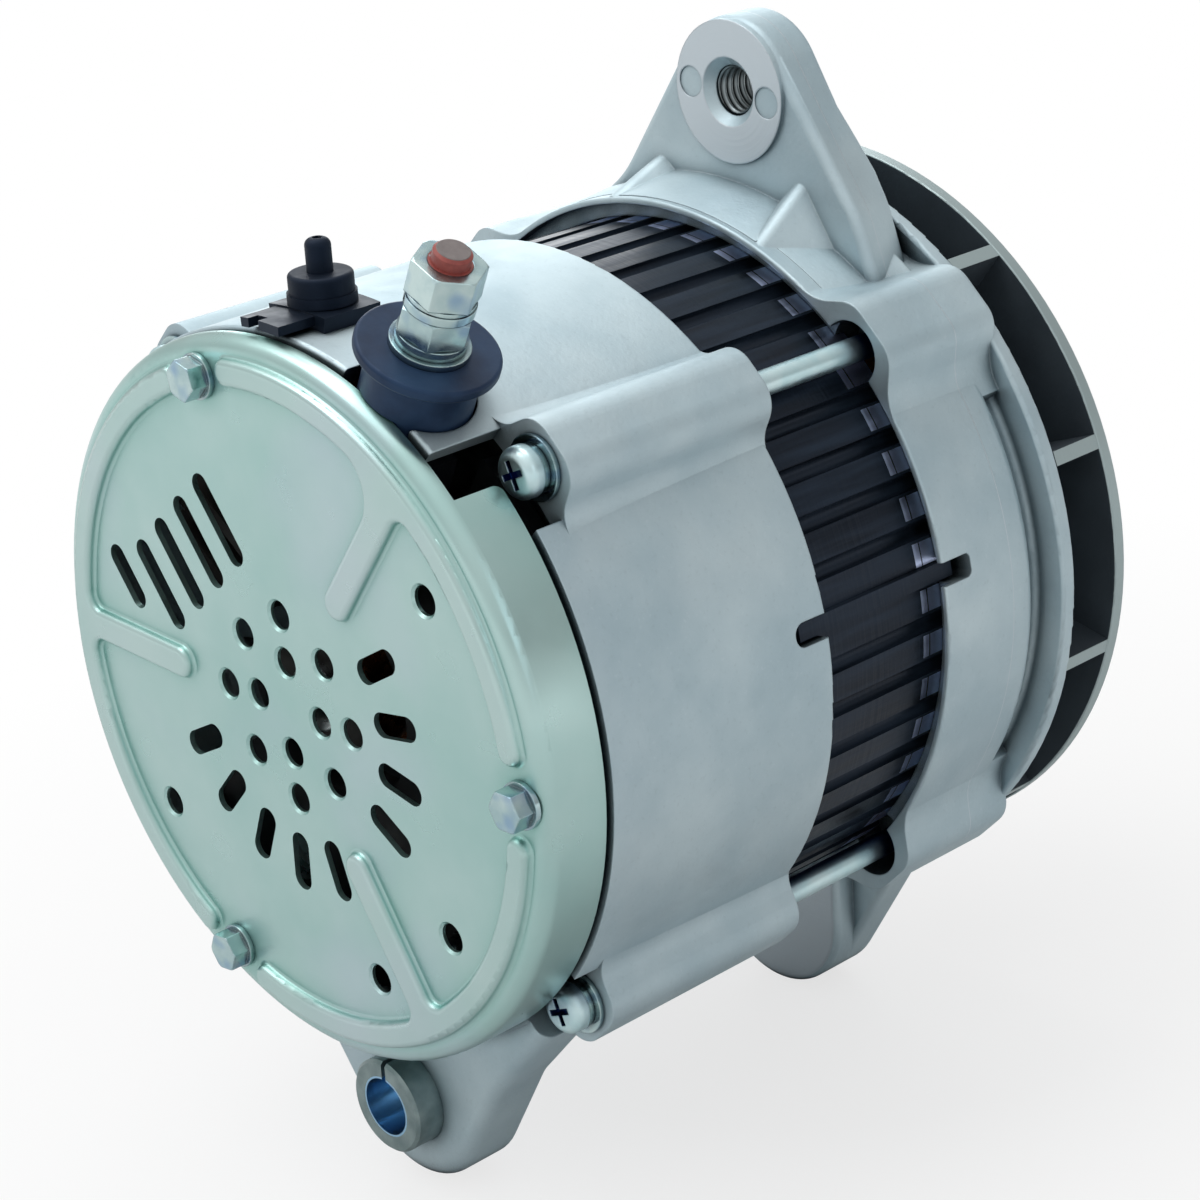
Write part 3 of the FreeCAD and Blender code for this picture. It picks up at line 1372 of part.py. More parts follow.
# Regulator and brush gear
def regulator():
    """Potted regulator block with cooling fins towards the cover's slots."""
    width = regulator_width
    height = regulator_height
    middle = polar(regulator_radius, regulator_angle)
    block = Part.makeBox(width, bay_floor - regulator_base_place, height,
                         point(-width / 2.0, regulator_base_place, -height / 2.0))
    fins = []
    pitch = width / regulator_fin_count
    for i in range(regulator_fin_count):
        start = -width / 2.0 + pitch * (i + 0.28)
        fins.append(Part.makeBox(pitch * 0.42, regulator_fin_height + 0.5, height,
                                 point(start, regulator_base_place - regulator_fin_height, -height / 2.0)))
    body = block.multiFuse(fins).removeSplitter()
    body = turn(body, regulator_angle - 90)
    body.translate(point(middle.x, 0, middle.z))
    return body


def brush_place(index):
    """Station of a brush, over the middle of its slip ring."""
    return slip_ring_start + slip_ring_width / 2.0 + index * (slip_ring_width + slip_ring_gap)


def brush_holder():
    """Moulded holder: a square tower with one channel for each brush."""
    low = slip_ring_radius + brush_holder_gap
    high = slip_ring_radius + touch_gap + brush_cavity
    first = brush_place(0) - brush_depth / 2.0 - brush_holder_wall
    last = brush_place(1) + brush_depth / 2.0 + brush_holder_wall
    half = brush_width / 2.0 + brush_holder_wall
    top = high + brush_holder_roof
    tower = radial_box(2 * half, low, top, first, last, brush_angle)
    stem = radial_box(2 * half, top - brush_stem_height, top, last - 1, bay_floor, brush_angle)
    tools = []
    for i in range(2):
        y = brush_place(i)
        deep = brush_depth / 2.0 + touch_gap
        tools.append(radial_box(brush_width + 2 * touch_gap, low - 1, high, y - deep, y + deep,
                                brush_angle))
    return cut_all(tower.fuse(stem), tools)


def brush(index):
    y = brush_place(index)
    start = slip_ring_radius + touch_gap
    return radial_box(brush_width, start, start + brush_length, y - brush_depth / 2.0,
                      y + brush_depth / 2.0, brush_angle)


def brush_spring(index):
    """Coil spring drawn as a thin sleeve between the brush and the end of its channel."""
    y = brush_place(index)
    start = slip_ring_radius + touch_gap + brush_length
    end = slip_ring_radius + touch_gap + brush_cavity
    outer = brush_depth / 2.0 - spring_inside_brush
    spring = radial_bar(outer, start, end, brush_angle, y)
    return spring.cut(radial_bar(outer - spring_wall, start - 1, end + 1, brush_angle, y))


def save(name, shapes):
    """Moves a node to the finished frame and writes it."""
    solids = []
    for shape in shapes if isinstance(shapes, list) else [shapes]:
        solids += shape.Solids
    whole = solids[0].copy() if len(solids) == 1 else Part.makeCompound(solids)
    whole.translate(point(0, -front_foot_face, pivot_radius))
    if not whole.isValid():
        print("not valid:", name)
    whole.exportStep("parts/" + name + ".step")
    print(name, len(solids), round(whole.Volume / 1000.0, 2), "cm3")


save("rear_cover", rear_cover())
save("cover_bolts", [cover_bolt(r, a) for r, a in cover_bolts_at])
save("rear_housing", rear_housing())
save("front_housing", front_housing())
save("through_bolts", [through_bolt(a) for a in bolt_angles])
save("through_bolt_spring_washers",
     [washer(spring_washer_radius, bolt_thread / 2.0 + slip,
             bolt_seat - flat_washer_thickness - spring_washer_thickness,
             bolt_seat - flat_washer_thickness, bolt_circle, a) for a in bolt_angles])
save("through_bolt_flat_washers",
     [washer(flat_washer_radius, bolt_thread / 2.0 + slip, bolt_seat - flat_washer_thickness,
             bolt_seat, bolt_circle, a) for a in bolt_angles])
save("foot_bush", foot_bush())
save("stator_core", stator_core())
save("stator_winding", stator_winding())

rear_pole = claw_pole(0.0)
save("rear_claw_pole", rear_pole)
save("front_claw_pole", mirrored_pole(rear_pole))
save("rotor_hub", pole_core())
save("field_coil", field_coil())
save("rotor_shaft", rotor_shaft())
save("slip_ring_sleeve", slip_sleeve())
save("slip_rings", slip_rings())

rear_rings = bearing(rear_journal_radius, rear_bearing_outer, rear_bearing_rear, rear_bearing_width)
front_rings = bearing(front_journal_radius, front_bearing_outer, front_bearing_rear, front_bearing_width)
for place, rings in (("rear", rear_rings), ("front", front_rings)):
    save(place + "_bearing_inner_ring", rings[0])
    save(place + "_bearing_outer_ring", rings[1])
    save(place + "_bearing_balls", rings[2])
    save(place + "_bearing_cage", rings[3])
save("bearing_retainer", bearing_retainer())
save("retainer_screws", [retainer_screw(a) for a in retainer_screw_angles()])
save("front_spacer", front_spacer())
save("fan", fan())
save("pulley", pulley())
save("shaft_washer", shaft_washer())
save("shaft_nut", shaft_nut())

levels = stud_stack()
save("output_stud", output_stud())
save("stud_insulator", stud_insulator())
save("stud_washers", [stud_ring(stud_washer_radius, levels[0], levels[1]),
                      stud_ring(stud_upper_washer_radius, levels[3], levels[4])])
save("stud_spring_washers", [stud_ring(stud_spring_washer_radius, levels[1], levels[2]),
                             stud_ring(stud_upper_spring_radius, levels[4], levels[5])])
save("stud_lower_nut", stud_nut(levels[2], stud_lower_nut_height, stud_lower_nut_turn))
save("stud_upper_nut", stud_nut(levels[5], stud_nut_height, 0))
save("terminal_tab", terminal_tab())
save("terminal_post", terminal_post())
save("terminal_cap", terminal_cap())

save("positive_heat_sink", positive_plate())
save("negative_heat_sink", heat_plate(inner_plate_place, plate_screw_radius + slip))
save("positive_diodes", [diode(outer_plate_place, a, 1) for a in diode_angles()])
save("negative_diodes", [diode(inner_plate_place, a, -1) for a in diode_angles()])
save("plate_spacers", [plate_spacer(a) for a in plate_post_angles()])
save("plate_sleeves", [plate_sleeve(a) for a in plate_post_angles()])
save("plate_screws", [plate_screw(a) for a in plate_post_angles()])
save("regulator", regulator())
save("brush_holder", brush_holder())
for index, name in enumerate(("rear", "front")):
    save(name + "_brush", brush(index))
    save(name + "_brush_spring", brush_spring(index))
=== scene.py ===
"""Looks for a heavy-duty vehicle alternator: plated cover, cast housings, varnished stator and painted fan.

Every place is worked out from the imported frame. Lengths are metres; MM turns millimetres into metres.
"""

import json
import math

import bpy
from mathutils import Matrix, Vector


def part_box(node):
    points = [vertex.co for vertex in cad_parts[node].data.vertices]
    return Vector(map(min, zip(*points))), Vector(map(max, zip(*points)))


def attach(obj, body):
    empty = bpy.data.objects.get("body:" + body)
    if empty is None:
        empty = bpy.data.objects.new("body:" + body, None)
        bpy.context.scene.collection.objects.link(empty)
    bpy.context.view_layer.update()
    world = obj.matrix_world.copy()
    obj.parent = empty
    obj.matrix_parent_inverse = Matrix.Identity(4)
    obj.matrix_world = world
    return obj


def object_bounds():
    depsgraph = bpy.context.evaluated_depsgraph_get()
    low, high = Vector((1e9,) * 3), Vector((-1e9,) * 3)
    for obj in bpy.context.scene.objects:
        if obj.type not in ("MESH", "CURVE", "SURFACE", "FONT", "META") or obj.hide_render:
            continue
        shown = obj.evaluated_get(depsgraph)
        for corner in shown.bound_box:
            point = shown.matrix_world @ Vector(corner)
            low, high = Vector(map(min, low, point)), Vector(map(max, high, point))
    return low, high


MM = 0.001
ALONG_SHAFT = (0.0, 1.0, 0.0)
WHITE = (1.0, 1.0, 1.0)

# Places of a Mix node's inputs: its mask, and what it gives where the mask is 0 and where it is 1
MASK = 0
OFF = 2
ON = 3
OFF_COLOUR = 6
ON_COLOUR = 7

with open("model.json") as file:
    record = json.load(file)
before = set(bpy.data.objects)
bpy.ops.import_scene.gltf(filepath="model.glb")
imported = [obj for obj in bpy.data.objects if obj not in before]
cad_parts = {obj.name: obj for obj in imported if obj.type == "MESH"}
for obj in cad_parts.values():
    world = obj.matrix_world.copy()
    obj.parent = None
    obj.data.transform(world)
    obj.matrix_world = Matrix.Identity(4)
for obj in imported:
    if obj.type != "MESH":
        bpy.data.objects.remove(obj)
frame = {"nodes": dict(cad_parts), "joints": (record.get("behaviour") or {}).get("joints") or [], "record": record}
cad_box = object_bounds()
joints = {j["name"]: j for j in frame["joints"]}
mounts = {m["name"]: m for m in frame["record"]["mounts"]}

# Shaft, cover, stator and fan: places that the materials are measured from
SHAFT = Vector(joints["rotor_spin"]["pos_m"])
BEAD_HEIGHT = 1.8 * MM
COVER_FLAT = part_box("rear_cover")[0].y + BEAD_HEIGHT
CORE_RADIUS = 70.5 * MM
FRONT_HOUSING_LAP = 5.5 * MM
FRONT_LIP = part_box("stator_core")[1].y - FRONT_HOUSING_LAP
RIB_COUNT = 48
RIB_PITCH = math.tau / RIB_COUNT
RIB_PHASE = math.radians(-5.3)
FAN_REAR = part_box("fan")[0].y
FAN_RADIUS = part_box("fan")[1].x - SHAFT.x

# Feet: the front one starts at the origin, and the bush in the rear one lies round the pivot's axis
FRONT_FOOT_FACE = 0.0
FRONT_FOOT_INNER = mounts["front_foot_inner_face"]["pos_m"][1]
PIVOT = Vector(mounts["pivot"]["pos_m"])
BUSH_BORE_EDGE = 6.5 * MM

# Adjusting ear: a round pad with two ejector marks beside a countersunk, tapped hole
EAR = Vector(mounts["adjusting_ear"]["pos_m"])
EAR_HOLE_DEPTH = mounts["adjusting_ear"]["dims"]["length_mm"] * MM
EAR_COUNTERSINK = 1.9 * MM
EAR_THREAD_START = EAR.y - EAR_HOLE_DEPTH / 2
EAR_PAD_FACE = EAR_THREAD_START - EAR_COUNTERSINK
EAR_PAD_RADIUS = 14.4 * MM
EAR_MARK_PLACE = 10.4 * MM
EAR_MARK_RADIUS = 3.0 * MM
THREAD_PITCH = 1.75 * MM
THREAD_LENGTH = 11.0 * MM
THREAD_CREST = 4.45 * MM
THREAD_ROOT = 5.08 * MM

# Output stud
STUD = Vector(mounts["output_stud"]["pos_m"])
STUD_AXIS = Vector(mounts["output_stud"]["axis"])
STUD_TIP_RADIUS = mounts["output_stud"]["dims"]["r_mm"] * MM


def add_camera():
    """The photograph's camera, solved from the object's edges."""
    camera = bpy.data.objects.new("Camera", bpy.data.cameras.new("Camera"))
    bpy.context.scene.collection.objects.link(camera)
    camera.location = (0.4403688, -0.4374149, 0.2904309)
    camera.rotation_euler = [math.radians(a) for a in (70.4824, 5.9617, 46.9812)]
    camera.data.sensor_width = 36.0
    camera.data.lens = 90.596
    camera.data.clip_start = 0.01
    bpy.context.scene.camera = camera


# Helpers for materials
def tint(code):
    """Linear colour of an sRGB hex code."""
    parts = [int(code[i:i + 2], 16) / 255 for i in (1, 3, 5)]
    return tuple(c / 12.92 if c <= 0.04045 else ((c + 0.055) / 1.055) ** 2.4 for c in parts) + (1.0,)


def per(size_mm):
    """Noise scale that gives patches about this many millimetres across."""
    return 1.0 / (size_mm * MM)


def add(tree, kind, inputs=(), **settings):
    """Adds a node with its settings, and fills its inputs with values or links: a tuple in their order, or a
    dictionary by name or number. Returns its outputs."""
    node = tree.nodes.new("ShaderNode" + kind)
    for name, value in settings.items():
        setattr(node, name, value)
    if isinstance(inputs, tuple):
        inputs = dict(enumerate(inputs))
    for place, value in inputs.items():
        if isinstance(value, bpy.types.NodeSocket):
            tree.links.new(value, node.inputs[place])
        else:
            node.inputs[place].default_value = value
    return node.outputs


def new_material(name, colour, metallic, roughness, **more):
    """Material with plain values on its shader. Returns it with its tree, shader and object coordinates."""
    material = bpy.data.materials.new(name)
    material.use_nodes = True
    tree = material.node_tree
    shader = tree.nodes["Principled BSDF"]
    shader.inputs["Base Color"].default_value = tint(colour)
    shader.inputs["Metallic"].default_value = metallic
    shader.inputs["Roughness"].default_value = roughness
    for socket, value in more.items():
        shader.inputs[socket.replace("_", " ")].default_value = value
    material.diffuse_color = tint(colour)
    return material, tree, shader, add(tree, "TexCoord")["Object"]


def layered(tree, colour, *layers):
    """Colour under layers, each a mask and the colour that lies where the mask is 1."""
    for mask, over in layers:
        colour = add(tree, "Mix", {MASK: mask, OFF_COLOUR: colour, ON_COLOUR: over}, data_type="RGBA")[2]
    return colour


def patchy(tree, shader, where, colours, patch_mm, roughness):
    """Two colours in soft patches, and a roughness that wanders between two values in smaller smears."""
    patches = add(tree, "TexNoise", {"Vector": where, "Scale": per(patch_mm), "Detail": 4.0})["Fac"]
    smears = add(tree, "TexNoise", {"Vector": where, "Scale": per(patch_mm * 0.4), "Detail": 6.0})["Fac"]
    share = add(tree, "MapRange", (patches, 0.35, 0.65))[0]
    colour = layered(tree, tint(colours[0]), (share, tint(colours[1])))
    rough = add(tree, "MapRange", (smears, 0.3, 0.7, *roughness))[0]
    tree.links.new(colour, shader.inputs["Base Color"])
    tree.links.new(rough, shader.inputs["Roughness"])
    return colour, rough


def bumped(tree, shader, height, depth_mm, edge_mm=0.0):
    """Surface relief from a height between 0 and 1, over edges broken by the given radius."""
    relief = {"Height": height, "Distance": depth_mm * MM}
    if edge_mm:
        relief["Normal"] = add(tree, "Bevel", {"Radius": edge_mm * MM}, samples=6)[0]
    tree.links.new(add(tree, "Bump", relief)[0], shader.inputs["Normal"])


def distance_from_axis(tree, where, centre, direction):
    """How far a point of the surface lies from an axis."""
    offset = add(tree, "VectorMath", (where, centre), operation="SUBTRACT")["Vector"]
    across = add(tree, "VectorMath", (offset, direction), operation="CROSS_PRODUCT")["Vector"]
    return add(tree, "VectorMath", (across,), operation="LENGTH")["Value"]


def along_axis(tree, where, centre, direction):
    """How far along an axis a point of the surface lies, from its centre."""
    offset = add(tree, "VectorMath", (where, centre), operation="SUBTRACT")["Vector"]
    return add(tree, "VectorMath", (offset, direction), operation="DOT_PRODUCT")["Value"]


def on_face(tree, where, y, slack_mm):
    """1 on a flat face that lies across the shaft, 0 elsewhere."""
    gap = add(tree, "Math", (along_axis(tree, where, (0, y, 0), ALONG_SHAFT),), operation="ABSOLUTE")[0]
    return add(tree, "Math", (gap, slack_mm * MM), operation="LESS_THAN")[0]


def clear_of_painted_shade(tree, reach_mm, shut=0.35, clear=0.9):
    """1 on open surfaces, towards 0 in seams and inner corners: the mask for painted shade."""
    shelter = add(tree, "AmbientOcclusion", {"Distance": reach_mm * MM}, samples=6)["AO"]
    return add(tree, "MapRange", (shelter, shut, clear))[0]


def turning_marks(tree, distance, pitch_mm):
    """Rings left by a lathe tool, in steps of its feed."""
    turns = add(tree, "Math", (distance, per(pitch_mm)), operation="MULTIPLY")[0]
    return add(tree, "TexNoise", {"W": turns, "Scale": 1.0, "Detail": 2.0}, noise_dimensions="1D")["Fac"]


# Plated steel
def zinc_plated_sheet():
    """Pressed steel sheet with pale blue-green passivated zinc: an even satin with faint clouds of tint and
    fine lines of the rolled sheet, drawn 0.8 mm apart so that they show. The beads' tops carry a paler painted
    highlight, and the feet of the beads hold a duller, greener tint that is partly painted shade."""
    material, tree, shader, where = new_material("zinc_plated_sheet", "#AACDC9", 1.0, 0.4)
    colour, rough = patchy(tree, shader, where, ("#A9CBC7", "#B6D2CF"), 30.0, (0.26, 0.38))
    clouds = add(tree, "TexNoise", {"Vector": where, "Scale": per(45.0), "Detail": 2.0})["Fac"]
    bluish = add(tree, "MapRange", (clouds, 0.52, 0.72, 0.0, 0.45))[0]
    height = along_axis(tree, where, (0, COVER_FLAT, 0), ALONG_SHAFT)
    proud = add(tree, "Math", (height, -1.0), operation="MULTIPLY")[0]
    # Painted highlight: a paler tint on the beads' tops, so that their relief shows
    bead_top_highlight = add(tree, "MapRange", (proud, 0.2 * MM, BEAD_HEIGHT, 0.0, 0.3))[0]
    colour = layered(tree, colour, (bluish, tint("#BFCBD8")), (bead_top_highlight, tint("#C9D6D6")))
    # Painted shade, partly the plating's tint: a greener, darker colour in the beads' feet and holes' edges
    clear = clear_of_painted_shade(tree, 6.0, 0.5, 1.0)
    tree.links.new(layered(tree, tint("#86B5AD"), (clear, colour)), shader.inputs["Base Color"])
    tree.links.new(add(tree, "Mix", {MASK: clear, OFF: 0.5, ON: rough})[0], shader.inputs["Roughness"])
    grain = add(tree, "Mapping", {"Vector": where, "Rotation": (0.0, 0.6, 0.0), "Scale": (1.0, 1.0, 0.05)})[0]
    lines = add(tree, "TexNoise", {"Vector": grain, "Scale": per(0.8), "Detail": 3.0})["Fac"]
    bumped(tree, shader, lines, 0.006)
    return material


def zinc_plated_fastener(name, colours, roughness, clouded, seam_shade, seam_shade_mm):
    """Cold-headed steel with bright blue-white zinc: shiny, a little wavy, edges broken by the die, with
    blue clouds in the plating and painted shade that darkens the seams where pieces meet."""
    material, tree, shader, where = new_material(name, colours[0], 1.0, roughness[0])
    colour = patchy(tree, shader, where, colours, 6.0, roughness)[0]
    clouds = add(tree, "TexNoise", {"Vector": where, "Scale": per(5.0), "Detail": 1.0})["Fac"]
    bluish = add(tree, "MapRange", (clouds, 0.5, 0.7, 0.0, clouded))[0]
    colour = layered(tree, colour, (bluish, tint("#7C9FC4")))
    # Painted shade: a dark colour in seams and inner corners, within the given reach
    colour = layered(tree, tint(seam_shade), (clear_of_painted_shade(tree, seam_shade_mm), colour))
    tree.links.new(colour, shader.inputs["Base Color"])
    waves = add(tree, "TexNoise", {"Vector": where, "Scale": per(2.5), "Detail": 2.0})["Fac"]
    bumped(tree, shader, waves, 0.006, 0.35)
    return material


def stud_plating():
    """The fasteners' bright zinc. The turned tip wears red assembly paint on its side, and a worn grey-brown
    film on its flat end."""
    paint_edge = (-0.9 * MM, -0.7 * MM)
    edge_waver = 0.8 * MM
    rim_width = 0.5 * MM
    material, tree, shader, where = new_material("stud_plating", "#BFD2D8", 1.0, 0.2)
    colour, rough = patchy(tree, shader, where, ("#B0C9D1", "#C9DDE1"), 6.0, (0.14, 0.28))
    height = along_axis(tree, where, STUD, STUD_AXIS)
    ragged = add(tree, "TexNoise", {"Vector": where, "Scale": per(1.4), "Detail": 4.0})["Fac"]
    uneven = add(tree, "Math", (ragged, edge_waver), operation="MULTIPLY")[0]
    edge = add(tree, "Math", (height, uneven), operation="ADD")[0]
    paint = add(tree, "MapRange", (edge, *paint_edge))[0]
    from_middle = distance_from_axis(tree, where, STUD, STUD_AXIS)
    side = add(tree, "Math", (from_middle, STUD_TIP_RADIUS - rim_width), operation="GREATER_THAN")[0]
    end = layered(tree, tint("#5C5352"), (ragged, tint("#7B7371")))
    red = layered(tree, tint("#6E2E2A"), (ragged, tint("#A9544C")))
    tip = layered(tree, end, (side, red))
    tree.links.new(layered(tree, colour, (paint, tip)), shader.inputs["Base Color"])
    tree.links.new(add(tree, "Math", (1.0, paint), operation="SUBTRACT")[0], shader.inputs["Metallic"])
    tree.links.new(add(tree, "Mix", {MASK: paint, OFF: rough, ON: 0.5})[0], shader.inputs["Roughness"])
    return material


# Castings and stator
def cast_aluminium():
    """Die-cast aluminium, shot-blasted: matt light grey with a fine pebbled skin and cloudy tone. The ear's
    pad and the front foot's two faces are milled, so they are smoother and show the cutter's arcs. Blasting
    grit leaves pebbles of 0.1 to 0.3 mm; they are drawn 0.9 mm across, over slow waves of the mould's
    skin."""
    material, tree, shader, where = new_material("cast_aluminium", "#BECBD1", 1.0, 0.6)
    colour, rough = patchy(tree, shader, where, ("#B2C4CB", "#C3D2D7"), 26.0, (0.52, 0.66))
    specks = add(tree, "TexNoise", {"Vector": where, "Scale": per(0.9), "Detail": 4.0})["Fac"]
    pale = add(tree, "MapRange", (specks, 0.62, 0.75, 0.0, 0.16))[0]
    dark = add(tree, "MapRange", (specks, 0.28, 0.4, 0.12, 0.0))[0]
    from_ear = distance_from_axis(tree, where, EAR, ALONG_SHAFT)
    near_ear = add(tree, "Math", (from_ear, EAR_PAD_RADIUS), operation="LESS_THAN")[0]
    pad = add(tree, "Math", (near_ear, on_face(tree, where, EAR_PAD_FACE, 0.12)), operation="MULTIPLY")[0]
    front = on_face(tree, where, FRONT_FOOT_FACE, 0.1)
    inner = on_face(tree, where, FRONT_FOOT_INNER, 0.1)
    foot = add(tree, "Math", (front, inner), operation="MAXIMUM")[0]
    milled = add(tree, "Math", (pad, foot), operation="MAXIMUM")[0]
    upright = Vector((EAR.x - SHAFT.x, 0, EAR.z - SHAFT.z)).normalized()
    across = upright.cross(Vector(ALONG_SHAFT)) * EAR_MARK_PLACE
    left = distance_from_axis(tree, where, EAR + across, ALONG_SHAFT)
    right = distance_from_axis(tree, where, EAR - across, ALONG_SHAFT)
    nearest = add(tree, "Math", (left, right), operation="MINIMUM")[0]
    in_mark = add(tree, "Math", (nearest, EAR_MARK_RADIUS), operation="LESS_THAN")[0]
    marks = add(tree, "Math", (pad, in_mark), operation="MULTIPLY")[0]
    colour = layered(tree, colour, (pale, tint("#DCE4E8")), (dark, tint("#8C999F")),
                     (milled, tint("#C3CDD3")), (marks, tint("#9BAAAE")))
    # Painted shade: darker grey in seams and inner corners, and near black deep in holes, gaps and windows
    colour = layered(tree, tint("#56656D"), (clear_of_painted_shade(tree, 4.0), colour))
    colour = layered(tree, tint("#1D252B"), (clear_of_painted_shade(tree, 14.0, 0.1, 0.45), colour))
    tree.links.new(colour, shader.inputs["Base Color"])
    tree.links.new(add(tree, "Mix", {MASK: milled, OFF: rough, ON: 0.42})[0], shader.inputs["Roughness"])
    pebbles = add(tree, "TexNoise", {"Vector": where, "Scale": per(0.9), "Detail": 3.0})["Fac"]
    skin = add(tree, "TexNoise", {"Vector": where, "Scale": per(7.0), "Detail": 3.0})["Fac"]
    waves = add(tree, "Math", (skin, 3.0), operation="MULTIPLY")[0]
    blasted = add(tree, "Math", (pebbles, waves), operation="ADD")[0]
    arcs = add(tree, "Math", (turning_marks(tree, from_ear, 0.7), 0.4), operation="MULTIPLY")[0]
    height = add(tree, "Mix", {MASK: milled, OFF: blasted, ON: arcs})[0]
    bumped(tree, shader, height, 0.045, 0.5)
    return material


def varnished_laminations():
    """Stator sheets 0.5 mm thick under black varnish: satin over bluish black, with the stack's lines drawn
    about 1.1 mm apart and long streaks where the varnish ran. The rib crowns are ground bare just behind the
    front housing's lip, in dashes with one dark line across that is painted shade of the lip's edge."""
    ground_width = 2.4 * MM
    line_place = 0.6 * MM
    line_width = 0.3 * MM
    dash_share = 0.5
    material, tree, shader, where = new_material("varnished_laminations", "#0D1117", 0.0, 0.36,
                                                 Specular_IOR_Level=0.3, Specular_Tint=tint("#C2DAFF"))
    from_shaft = distance_from_axis(tree, where, SHAFT, ALONG_SHAFT)
    past_lip = along_axis(tree, where, (0, FRONT_LIP, 0), ALONG_SHAFT)
    before_lip = add(tree, "Math", (past_lip, -1.0), operation="MULTIPLY")[0]
    drawn_out = add(tree, "Mapping", {"Vector": where, "Scale": (1.0, 0.08, 1.0)})[0]
    streaks = add(tree, "TexNoise", {"Vector": drawn_out, "Scale": per(2.5), "Detail": 4.0})["Fac"]
    glossed = add(tree, "MapRange", (streaks, 0.35, 0.7))[0]
    black = layered(tree, tint("#04070C"), (glossed, tint("#1D2631")))
    by_lip = add(tree, "Math", (before_lip, ground_width), operation="LESS_THAN")[0]
    on_crown = add(tree, "Math", (from_shaft, CORE_RADIUS - 0.1 * MM), operation="GREATER_THAN")[0]
    ground = add(tree, "Math", (by_lip, on_crown), operation="MULTIPLY")[0]
    # Painted shade: a line across the bare dashes, where the lip's edge throws shadow, stays black
    from_line = add(tree, "Math", (before_lip, line_place), operation="SUBTRACT")[0]
    from_line = add(tree, "Math", (from_line,), operation="ABSOLUTE")[0]
    line = add(tree, "Math", (from_line, line_width / 2), operation="LESS_THAN")[0]
    covered = add(tree, "Math", (ground, line), operation="MULTIPLY")[0]
    ground = add(tree, "Math", (ground, covered), operation="SUBTRACT")[0]
    offset = add(tree, "VectorMath", (where, SHAFT), operation="SUBTRACT")[0]
    offset = add(tree, "SeparateXYZ", (offset,))
    around = add(tree, "Math", (offset["Z"], offset["X"]), operation="ARCTAN2")[0]
    around = add(tree, "Math", (around, RIB_PHASE), operation="SUBTRACT")[0]
    ribs = add(tree, "Math", (around, RIB_PITCH), operation="DIVIDE")[0]
    in_rib = add(tree, "Math", (ribs, 0.5, -0.5), operation="WRAP")[0]
    in_rib = add(tree, "Math", (in_rib,), operation="ABSOLUTE")[0]
    dash = add(tree, "Math", (in_rib, dash_share / 2), operation="LESS_THAN")[0]
    bare = add(tree, "Math", (ground, dash), operation="MULTIPLY")[0]
    tree.links.new(layered(tree, black, (bare, tint("#C6D3F2"))), shader.inputs["Base Color"])
    tree.links.new(bare, shader.inputs["Metallic"])
    tree.links.new(add(tree, "MapRange", (streaks, 0.3, 0.7, 0.28, 0.46))[0], shader.inputs["Roughness"])
    stack = add(tree, "Math", (before_lip, per(1.1)), operation="MULTIPLY")[0]
    sheets = add(tree, "TexNoise", {"W": stack, "Scale": 1.0, "Detail": 1.0}, noise_dimensions="1D")["Fac"]
    runs = add(tree, "Math", (streaks, 2.0), operation="MULTIPLY")[0]
    bumped(tree, shader, add(tree, "Math", (sheets, runs), operation="ADD")[0], 0.05)
    return material


def enamelled_copper():
    """Copper wire 1.3 mm thick, dipped in amber varnish: glossy red-brown strands."""
    material, tree, shader, where = new_material("enamelled_copper", "#8A4A26", 0.6, 0.3, Coat_Weight=0.6)
    from_shaft = distance_from_axis(tree, where, SHAFT, ALONG_SHAFT)
    patchy(tree, shader, where, ("#7A3D1E", "#A05E30"), 5.0, (0.25, 0.4))
    wires = add(tree, "Math", (from_shaft, per(1.3) * math.tau), operation="MULTIPLY")[0]
    bumped(tree, shader, add(tree, "Math", (wires,), operation="SINE")[0], 0.15)
    return material


# Turned, sintered, forged and painted metal
def turned_steel(name, colours, roughness, feed_mm=0.6, depth_mm=0.01):
    """Steel turned, ground or drawn: a satin with the rings of the tool's feed round the shaft, drawn as wide
    as they need to show."""
    material, tree, shader, where = new_material(name, colours[0], 1.0, roughness[0])
    patchy(tree, shader, where, colours, 8.0, roughness)
    rings = turning_marks(tree, distance_from_axis(tree, where, SHAFT, ALONG_SHAFT), feed_mm)
    length = turning_marks(tree, along_axis(tree, where, SHAFT, ALONG_SHAFT), feed_mm)
    bumped(tree, shader, add(tree, "Math", (rings, length), operation="ADD")[0], depth_mm)
    return material


def sintered_bush_steel():
    """Split bush of sintered steel: plain grey with fine pores, drawn 0.7 mm across so that they show. Its
    bore is coated with blue zinc that shines."""
    material, tree, shader, where = new_material("sintered_bush_steel", "#889898", 1.0, 0.42)
    colour, rough = patchy(tree, shader, where, ("#7A8A8B", "#97A6A6"), 6.0, (0.34, 0.5))
    from_pivot = distance_from_axis(tree, where, PIVOT, ALONG_SHAFT)
    inside = add(tree, "Math", (from_pivot, BUSH_BORE_EDGE), operation="LESS_THAN")[0]
    tree.links.new(layered(tree, colour, (inside, tint("#9CC3E0"))), shader.inputs["Base Color"])
    tree.links.new(add(tree, "Mix", {MASK: inside, OFF: rough, ON: 0.25})[0], shader.inputs["Roughness"])
    grit = add(tree, "TexNoise", {"Vector": where, "Scale": per(0.7), "Detail": 3.0})["Fac"]
    bumped(tree, shader, grit, 0.015)
    return material


